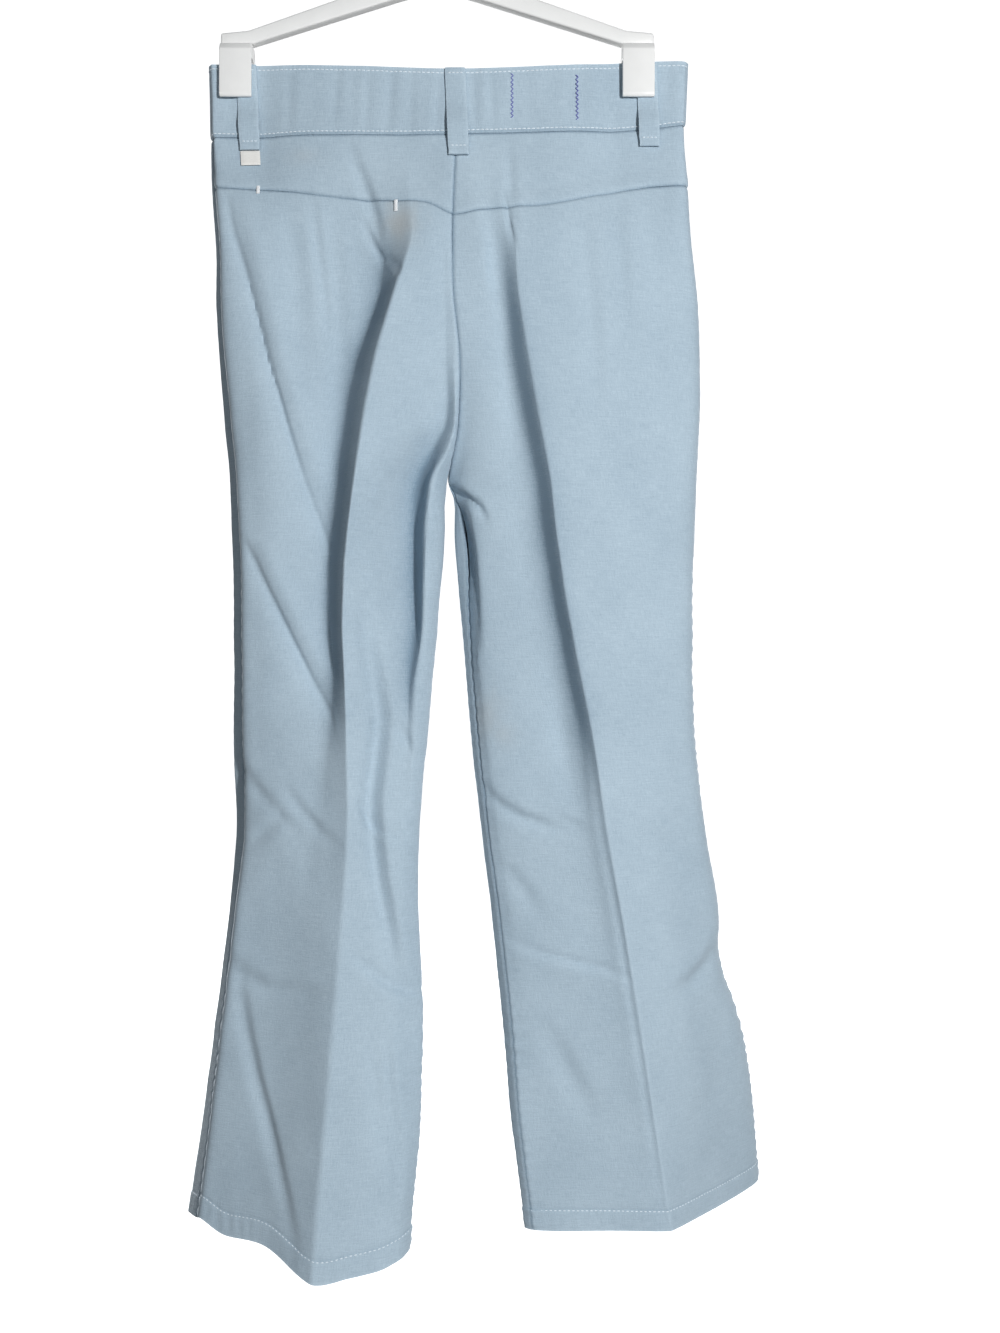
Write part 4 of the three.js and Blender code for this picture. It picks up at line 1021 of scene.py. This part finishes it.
def tape_finish():
    """White woven tape, with a fine rib across."""
    made = Finish("white_tape", Roughness=0.7, Sheen_Weight=0.1)
    place = made.attribute("weave", out="Vector")
    rib = made.noise(place, (2.5, 0.45, 1.0), detail=1.0)
    colour = made.mixed((rib + 0.5).clamped(), rgba((0.70, 0.69, 0.66)), rgba((0.86, 0.85, 0.82)))
    made.surface(Base_Color=colour)
    made.bumped(rib, 0.0002, 0.6)
    return made.material


def moulded_finish(name, colour, roughness, coat=0.0):
    """Moulded or coated surfaces: a faint mottle in the colour and in the gloss."""
    made = Finish(name, Coat_Weight=coat, Coat_Roughness=0.25)
    place = made.node("ShaderNodeTexCoord", out="Object")
    mottle = made.noise(place, (0.012, 0.012, 0.012), detail=3.0)
    grain = made.noise(place, (0.0009, 0.0009, 0.0009), detail=1.0)
    made.surface(Base_Color=made.mixed((mottle + 0.5).clamped(), rgba(colour, 0.96), rgba(colour, 1.03)),
                 Roughness=mottle * 0.12 + roughness)
    made.bumped(grain, 0.00005, 0.5)
    return made.material


def stage_finish():
    made = Finish("pale_paper", Roughness=0.95, Specular_IOR_Level=0.1)
    place = made.node("ShaderNodeTexCoord", out="Object")
    tooth = made.noise(place, (0.002, 0.002, 0.002), detail=2.0)
    colour = made.mixed((tooth + 0.5).clamped(), rgba((0.60, 0.60, 0.60)), rgba((0.63, 0.63, 0.63)))
    made.surface(Base_Color=colour)
    glow = bpy.context.scene.trousers_studio.paper
    made.surface(Emission_Color=(1.0, 1.0, 1.0, 1.0), Emission_Strength=glow)
    return made.material


FINISHES = {}


def finish(name):
    """The finish of that name, made when it is first asked for."""
    if name not in FINISHES:
        hanger = bpy.context.scene.trousers_hanger
        thread = bpy.context.scene.trousers_thread
        makers = {
            "cloth": cloth_finish,
            "tape": tape_finish,
            "stage": stage_finish,
            "pale_thread": lambda: thread_finish("pale_thread", thread.pale),
            "violet_thread": lambda: thread_finish("violet_thread", thread.violet),
            "white_thread": lambda: thread_finish("white_thread", thread.white),
            "button": lambda: moulded_finish("pale_blue_button", hanger.button, 0.32, 0.3),
            "plastic": lambda: moulded_finish("white_plastic", hanger.plastic, 0.38),
            "wire": lambda: moulded_finish("white_coated_wire", hanger.plastic, 0.28, 0.4),
        }
        FINISHES[name] = makers[name]()
    return FINISHES[name]


# Settings a user would change

class TrousersCloth(bpy.types.PropertyGroup):
    deep: FloatVectorProperty(
        name="Deep Tone", description="Colour of the darkest threads", subtype="COLOR", min=0, max=1,
        default=(0.195, 0.280, 0.360))
    pale: FloatVectorProperty(
        name="Pale Tone", description="Colour of the palest threads and worn edges", subtype="COLOR",
        min=0, max=1, default=(0.600, 0.725, 0.815))
    stain: FloatVectorProperty(
        name="Stain", description="Colour of the faint stains", subtype="COLOR", min=0, max=1,
        default=(0.47, 0.43, 0.37))
    slub: FloatProperty(
        name="Slub", description="How strongly the uneven threads show", default=0.36, min=0, max=2)
    bump: FloatProperty(
        name="Weave Relief", description="Strength of the weave's bump", default=0.55, min=0, max=1)
    row_step: FloatProperty(
        name="Row Step", description="Mesh step down the cloth", default=0.003, min=0.001, unit="LENGTH")
    column_step: FloatProperty(
        name="Column Step", description="Mesh step across the cloth", default=0.0022, min=0.001,
        unit="LENGTH")


class TrousersThread(bpy.types.PropertyGroup):
    pale: FloatVectorProperty(
        name="Seam Thread", description="Colour of the topstitching", subtype="COLOR", min=0, max=1,
        default=(0.72, 0.80, 0.86))
    violet: FloatVectorProperty(
        name="Zigzag Thread", description="Colour of the zigzag rows on the waistband", subtype="COLOR",
        min=0, max=1, default=(0.13, 0.15, 0.42))
    white: FloatVectorProperty(
        name="Tack Thread", description="Colour of the bar tacks", subtype="COLOR", min=0, max=1,
        default=(0.80, 0.82, 0.84))
    stitch: FloatProperty(
        name="Stitch Length", description="Length of one topstitch", default=0.0026, min=0.0005,
        unit="LENGTH")
    gap: FloatProperty(
        name="Stitch Gap", description="Gap between two topstitches", default=0.0007, min=0.0002,
        unit="LENGTH")
    thick: FloatProperty(
        name="Thread Radius", description="Half the thread's thickness", default=0.00042, min=0.00005,
        unit="LENGTH")


class TrousersHanger(bpy.types.PropertyGroup):
    plastic: FloatVectorProperty(
        name="Plastic", description="Colour of the hanger", subtype="COLOR", min=0, max=1,
        default=(0.80, 0.80, 0.79))
    button: FloatVectorProperty(
        name="Button", description="Colour of the waist button", subtype="COLOR", min=0, max=1,
        default=(0.50, 0.58, 0.66))


class TrousersStudio(bpy.types.PropertyGroup):
    key: FloatProperty(
        name="Key Light", description="Power of the main light", default=58.0, min=0, unit="POWER")
    sky: FloatProperty(
        name="Room Light", description="Brightness of the light all round", default=0.06, min=0)
    paper: FloatProperty(
        name="Paper", description="Own brightness of the pale sweep", default=0.95, min=0)


# Pieces

class TrousersStage(bpy.types.Operator):
    """Camera, studio lights and a pale sweep behind and below"""
    bl_idname = "trousers.stage"
    bl_label = "Stage"

    def execute(self, context):
        studio = context.scene.trousers_studio
        camera = bpy.data.cameras.new("camera")
        camera.sensor_width = 36
        camera.lens = 36 * CAMERA["away"] / CAMERA["frame_height"]
        seat = bpy.data.objects.new("camera", camera)
        seat.location = (CAMERA["x"], -CAMERA["away"], CAMERA["z"])
        seat.rotation_euler = (math.radians(90), 0, 0)
        context.scene.collection.objects.link(seat)
        context.scene.camera = seat
        context.scene.view_settings.view_transform = "Standard"
        world = bpy.data.worlds.new("studio")
        world.use_nodes = True
        world.node_tree.nodes["Background"].inputs["Color"].default_value = SKY_COLOUR
        world.node_tree.nodes["Background"].inputs["Strength"].default_value = studio.sky
        context.scene.world = world
        middle = Vector(((CAD_LOW[0] + CAD_HIGH[0]) / 2, 0.0, (CAD_LOW[2] + CAD_HIGH[2]) / 2))
        for lamp in LAMPS:
            light = bpy.data.lights.new(lamp["name"], "AREA")
            light.shape, light.size, light.energy = "DISK", lamp["size"], studio.key * lamp["share"]
            seat = bpy.data.objects.new(lamp["name"], light)
            seat.location = lamp["place"]
            seat.rotation_euler = (middle - seat.location).to_track_quat("-Z", "Y").to_euler()
            seat.visible_camera = False
            context.scene.collection.objects.link(seat)
        self.sweep()
        return {"FINISHED"}

    def sweep(self):
        """A round floor that curves up into a wall all the way round. It gives the cloth no light."""
        radius, bend, floor = SWEEP["radius"], SWEEP["bend"], SWEEP["floor"]
        profile = [(0.001, floor)]
        for angle in np.linspace(0, math.pi / 2, 17):
            profile.append((radius - bend + bend * math.sin(angle), floor + bend - bend * math.cos(angle)))
        profile.append((radius, SWEEP["top"]))
        faces = tube_faces(len(profile), SWEEP["sides"], capped=False)
        made = add_object("sweep", turned(profile, SWEEP["sides"]) / MM, faces, finish("stage"))
        made.visible_diffuse = False


class TrousersLegs(bpy.types.Operator):
    """The two back legs under their yokes and the two front legs under the waistband"""
    bl_idname = "trousers.legs"
    bl_label = "Legs"

    def execute(self, context):
        for side in ("left", "right"):
            cloth_piece("back_" + side, ["back_" + side], "leg", yoke_seam, hem_edge)
            cloth_piece("front_" + side, ["front_" + side], "leg", band_seam, hem_edge)
        return {"FINISHED"}


class TrousersYokes(bpy.types.Operator):
    """The two back yokes between the waistband and the legs"""
    bl_idname = "trousers.yokes"
    bl_label = "Yokes"

    def execute(self, context):
        for side in ("left", "right"):
            cloth_piece("yoke_" + side, ["back_" + side], "yoke", band_seam, yoke_seam)
        return {"FINISHED"}


class TrousersWaistband(bpy.types.Operator):
    """The gathered back waistband and the two plain front ones"""
    bl_idname = "trousers.waistband"
    bl_label = "Waistband"

    def execute(self, context):
        cloth_piece("waistband_back", list(BACK), "band", top_edge, band_seam, BAND_WALL)
        for side in ("left", "right"):
            cloth_piece("waistband_front_" + side, ["front_" + side], "band", top_edge, band_seam,
                        BAND_WALL)
        return {"FINISHED"}


class TrousersLoops(bpy.types.Operator):
    """Five belt loops, each a folded strip sewn down at both ends"""
    bl_idname = "trousers.loops"
    bl_label = "Belt Loops"

    def execute(self, context):
        runs = []
        for name, panels, x_top, x_bottom, high, low in LOOP_PLACES:
            rows = []
            for t in np.linspace(0, 1, LOOP["rows"]):
                drop = mix(high, low, t)
                free = (drop - LOOP["free_from"]) / (low - LOOP["free_from"] - 3)
                swell = math.sin(math.pi * float(np.clip(free, 0, 1))) ** 2
                fold = math.exp(-((low - drop - 2.5) / 2.6) ** 4)
                height = BAND_PROUD + LOOP["lift"] + LOOP["stand_off"] * swell + LOOP["fold"] * fold
                rows.append((drop, mix(x_top, x_bottom, t), height, 1 - 0.05 * fold))
            made, outer = strap(name + "_cloth", panels, rows, LOOP["width"], LOOP["wall"], "cloth")
            stands_for(made, name)
            is_sheet(outer)
            runs += self.stitches(context, outer, -1 if panels is BACK else 1)
        thread_mesh("loop_stitches", runs, context.scene.trousers_thread.thick / MM, "pale_thread")
        return {"FINISHED"}

    def stitches(self, context, outer, facing):
        """A row of stitches across each end of a loop."""
        thread = context.scene.trousers_thread
        runs = []
        for row in (2, -4):
            path, down = outer[row, 1:-1], outer[row + 1, 1:-1] - outer[row - 1, 1:-1]
            out = unit(np.cross(np.gradient(path, axis=0), down))
            out *= np.sign(out[:, 1:2] * facing)
            runs += stitch_line(path, out, thread.stitch / MM * 0.8, thread.gap / MM)
        return runs


class TrousersFly(bpy.types.Operator):
    """The fly flap on the front, and its button"""
    bl_idname = "trousers.fly"
    bl_label = "Fly and Button"

    def execute(self, context):
        rows = []
        for t in np.linspace(0, 1, FLY["rows"]):
            curved = max(t - FLY["straight"], 0) / FLY["curve"]
            share = math.sqrt(max(1 - curved ** 2, FLY["narrowest"]))
            middle = FLY["edge"] - FLY["width"] * share / 2
            rows.append((mix(FLY["top"], FLY["foot"], t), middle, FLY["lift"], share))
        made, outer = strap("fly_cloth", FRONT, rows, FLY["width"], FLY["wall"], "cloth", across=18)
        stands_for(made, "fly")
        is_sheet(outer)
        self.button()
        return {"FINISHED"}

    def button(self):
        """A turned shank button with a rolled rim and a dished middle."""
        seat, out = point_on(FRONT, BUTTON["x"], BUTTON["drop"], BAND_PROUD + 0.3)
        turn = Vector((0, 0, 1)).rotation_difference(Vector(out)).to_matrix()
        points = turned(BUTTON_PROFILE, BUTTON["sides"]) @ np.array(turn).T + seat
        faces = tube_faces(len(BUTTON_PROFILE), BUTTON["sides"])
        made = add_object("button_turned", points, faces, finish("button"), sharp=60)
        stands_for(made, "waist_button")


def turned(profile, sides):
    """Points of a turned form from a profile of (radius, height)."""
    angles = np.linspace(0, 2 * math.pi, sides, endpoint=False)
    rings = [[(r * math.cos(a), r * math.sin(a), h) for a in angles] for r, h in profile]
    return np.array(rings).reshape(-1, 3)


def tube_faces(rings, sides, capped=True):
    ids = np.arange(rings * sides).reshape(rings, sides)
    faces = quads(np.concatenate([ids, ids[:, :1]], axis=1))[:, ::-1].tolist()
    return faces + [ids[0][::-1].tolist(), ids[-1].tolist()] if capped else faces


class TrousersTab(bpy.types.Operator):
    """The bare folded tape under the left belt loop"""
    bl_idname = "trousers.tab"
    bl_label = "Tape Tab"

    def execute(self, context):
        shares = np.linspace(0, 1, TAB["rows"])
        rows = [(mix(*TAB["drops"], t), mix(*TAB["xs"], t), TAB["lift"], 1.0) for t in shares]
        made, outer = strap("tab_tape", BACK, rows, TAB["width"], TAB["wall"], "tape", across=8, crown=0.5)
        stands_for(made, "label_tab")
        is_sheet(outer)
        return {"FINISHED"}


def hem_stitches(name, u):
    return hem_edge(name, u) - HEM_DEPTH


def high_stitches(name, u):
    return top_edge(name, u) + BAND_LINES["top"][0]


def low_stitches(name, u):
    return band_seam(name, u) - BAND_LINES["bottom"]


class TrousersStitching(bpy.types.Operator):
    """Topstitching on the waistband and hems, the zigzag rows and the bar tacks"""
    bl_idname = "trousers.stitching"
    bl_label = "Stitching"

    def execute(self, context):
        thread = context.scene.trousers_thread
        length, gap, radius = thread.stitch / MM, thread.gap / MM, thread.thick / MM
        runs = []
        for name in PANELS:
            top = yoke_seam if name in BACK else band_seam
            path, out = seam_path(name, leg_relief, hem_stitches, top, hem_edge)
            runs += stitch_line(path, out, length, gap, STITCH_LIFT["hem"])
            for level in (high_stitches, low_stitches):
                path, out = seam_path(name, band_relief, level, top_edge, band_seam)
                runs += stitch_line(path, out, length, gap)
        thread_mesh("topstitching", runs, radius, "pale_thread")
        self.zigzag(radius)
        self.tacks(radius)
        return {"FINISHED"}

    def zigzag(self, radius):
        runs = []
        for x in ZIGZAG["rows"]:
            for drop in np.arange(ZIGZAG["from"], ZIGZAG["to"], ZIGZAG["pitch"]):
                for a, b, side in ((0, 0.5, 1), (0.5, 1, -1)):
                    ends = []
                    for share in np.linspace(a, b, 5):
                        swing = side * (share - (a + b) / 2) * 2 * ZIGZAG["half"]
                        low = drop + share * ZIGZAG["pitch"]
                        ends.append(point_on(BACK, x + swing, low, BAND_PROUD + 0.1))
                    runs.append(([p[0] for p in ends], np.array([p[1] for p in ends])))
        thread_mesh("zigzag_rows", runs, radius, "violet_thread")

    def tacks(self, radius):
        runs = []
        for x, high, low in TACKS:
            spots = x + TACK["half"] * np.linspace(-1, 1, 5)
            for drop in np.arange(high, low, TACK["pitch"]):
                ends = [point_on(BACK, spot, drop, TACK["lift"]) for spot in spots]
                runs.append(([p[0] for p in ends], np.array([p[1] for p in ends])))
        thread_mesh("bar_tacks", runs, radius, "white_thread")


class TrousersHangerPieces(bpy.types.Operator):
    """The wire hook, the moulded bar and its two clips"""
    bl_idname = "trousers.hanger"
    bl_label = "Hanger"

    def execute(self, context):
        self.hook()
        self.bar()
        for side, x in zip(("left", "right"), CLIP_PLACES):
            self.clip("clip_" + side, x)
        return {"FINISHED"}

    def hook(self):
        bend, wire, foot, tip = HOOK["bend"], HOOK["wire"], HOOK["stem_foot"], HOOK["tip_angle"]
        centre = wire - bend
        points = [(-bend * math.cos(a), centre + bend * math.sin(a))
                  for a in np.radians(np.linspace(tip, HOOK["last_angle"], 15))]
        points += [(4, centre - bend - 2), (0, foot + 6), (0, foot)]
        line = np.array(points)
        lengths = np.concatenate([[0], np.cumsum(np.linalg.norm(np.diff(line, axis=0), axis=1))])
        at = np.linspace(0, lengths[-1], HOOK["rings"])
        run = np.stack([along(lengths, line[:, 0], at), 0 * at, along(lengths, line[:, 1], at)], axis=-1)
        way = unit(np.gradient(run, axis=0))
        side = np.tile([0.0, 1.0, 0.0], (len(run), 1))
        up = np.cross(side, way)
        fat = wire * np.minimum(1, np.sqrt(np.clip(1 - ((wire - at) / wire).clip(0) ** 2, 0.02, 1)))
        turn = np.linspace(0, 2 * math.pi, HOOK["sides"], endpoint=False)
        ring = np.cos(turn)[None, :, None] * side[:, None, :] + np.sin(turn)[None, :, None] * up[:, None, :]
        points = (run[:, None, :] + ring * fat[:, None, None]).reshape(-1, 3)
        made = add_object("hook_wire", points, tube_faces(len(run), HOOK["sides"]), finish("wire"), sharp=70)
        stands_for(made, "hanger_hook")

    def bar(self):
        end = -WAIST_BELOW_HOOK + BAR["end_above_waist"]
        half = (CLIP_PLACES[1] - CLIP_PLACES[0]) / 2 + CLIP_WIDTH / 2
        top, hub, height = HOOK["stem_foot"] - 0.3, BAR["hub_half"], BAR["height"]
        right = [(hub, top), (hub + 14, top - 5), (half - 20, end + height - 1), (half, end + height - 3),
                 (half, end), (half - CLIP_WIDTH, end), (hub + 14, top - height - 9), (hub, top - height - 5)]
        left = [(-x, z) for x, z in right]
        points = [(x, -BAR["thick"] / 2, z) for x, z in left + right[::-1]]
        stands_for(bevelled("bar_moulded", points, (0, BAR["thick"], 0), 1.6), "hanger_bar")

    def clip(self, name, x):
        front_gap = CLIP_CLOTH + BAND_PROUD + CLIP["play"]
        back_gap = front_gap + LOOP["wall"] + CLIP["play"]
        roof_top = -WAIST_BELOW_HOOK + BAR["end_above_waist"] - CLIP["play"]
        roof_under = -WAIST_BELOW_HOOK + CLIP["headroom"] - CLIP["roof"]
        foot = -WAIST_BELOW_HOOK - CLIP["grip"]
        back, front = -(back_gap + CLIP["jaw"]), front_gap + CLIP["jaw"]
        (in_roof, down_roof), (in_toe, up_toe), corner = CLIP["shoulder"], CLIP["toe"], CLIP["corner"]
        outline = [(back, foot + up_toe), (back + in_toe, foot), (-back_gap, foot),
                   (-back_gap, roof_under - 1), (-back_gap + corner, roof_under),
                   (front_gap - corner, roof_under), (front_gap, roof_under - 1), (front_gap, foot),
                   (front - in_toe, foot),
                   (front, foot + up_toe), (front, roof_top - down_roof), (front - in_roof, roof_top),
                   (back + in_roof, roof_top), (back, roof_top - down_roof)]
        start = x + MIDDLE_RIGHT_OF_HOOK - CLIP_WIDTH / 2
        points = [(start, y, z) for y, z in outline]
        stands_for(bevelled(name + "_moulded", points, (CLIP_WIDTH, 0, 0), CLIP["bevel"]), name)


def bevelled(name, outline, step, width):
    """Extrudes a flat outline by a step and rounds its edges."""
    made = bmesh.new()
    first = [made.verts.new(Vector(p) * MM) for p in outline]
    second = [made.verts.new((Vector(p) + Vector(step)) * MM) for p in outline]
    made.faces.new(first)
    made.faces.new(second[::-1])
    for i in range(len(outline)):
        j = (i + 1) % len(outline)
        made.faces.new((first[j], first[i], second[i], second[j]))
    bmesh.ops.recalc_face_normals(made, faces=made.faces)
    bmesh.ops.bevel(made, geom=list(made.edges), offset=width * MM, segments=3, profile=0.5, affect="EDGES",
                    clamp_overlap=True)
    bmesh.ops.triangulate(made, faces=[f for f in made.faces if len(f.verts) > 4])
    mesh = bpy.data.meshes.new(name)
    made.to_mesh(mesh)
    made.free()
    mesh.polygons.foreach_set("use_smooth", np.ones(len(mesh.polygons), bool))
    mesh.set_sharp_from_angle(angle=math.radians(35))
    mesh.materials.append(finish("plastic"))
    piece = bpy.data.objects.new(name, mesh)
    bpy.context.scene.collection.objects.link(piece)
    return piece


PIECES = (TrousersStage, TrousersLegs, TrousersYokes, TrousersWaistband, TrousersLoops, TrousersFly,
          TrousersTab, TrousersStitching, TrousersHangerPieces)
SETTINGS = {"trousers_cloth": TrousersCloth, "trousers_thread": TrousersThread,
            "trousers_hanger": TrousersHanger, "trousers_studio": TrousersStudio}


class TrousersPanel(bpy.types.Panel):
    """Lists the pieces and their settings"""
    bl_idname = "VIEW3D_PT_trousers"
    bl_label = "Flared Trousers"
    bl_space_type = "VIEW_3D"
    bl_region_type = "UI"
    bl_category = "Trousers"

    def draw(self, context):
        for group, kind in SETTINGS.items():
            box = self.layout.box()
            for key in kind.__annotations__:
                box.prop(getattr(context.scene, group), key)
        for piece in PIECES:
            self.layout.operator(piece.bl_idname)


def register():
    for kind in (*SETTINGS.values(), *PIECES, TrousersPanel):
        bpy.utils.register_class(kind)
    for group, kind in SETTINGS.items():
        setattr(bpy.types.Scene, group, PointerProperty(type=kind))


def unregister():
    for group in SETTINGS:
        delattr(bpy.types.Scene, group)
    for kind in (TrousersPanel, *reversed(PIECES), *reversed(SETTINGS.values())):
        bpy.utils.unregister_class(kind)


def main():
    register()
    for piece in PIECES:
        group, action = piece.bl_idname.split(".")
        getattr(getattr(bpy.ops, group), action)()


if __name__ == "__main__":
    main()
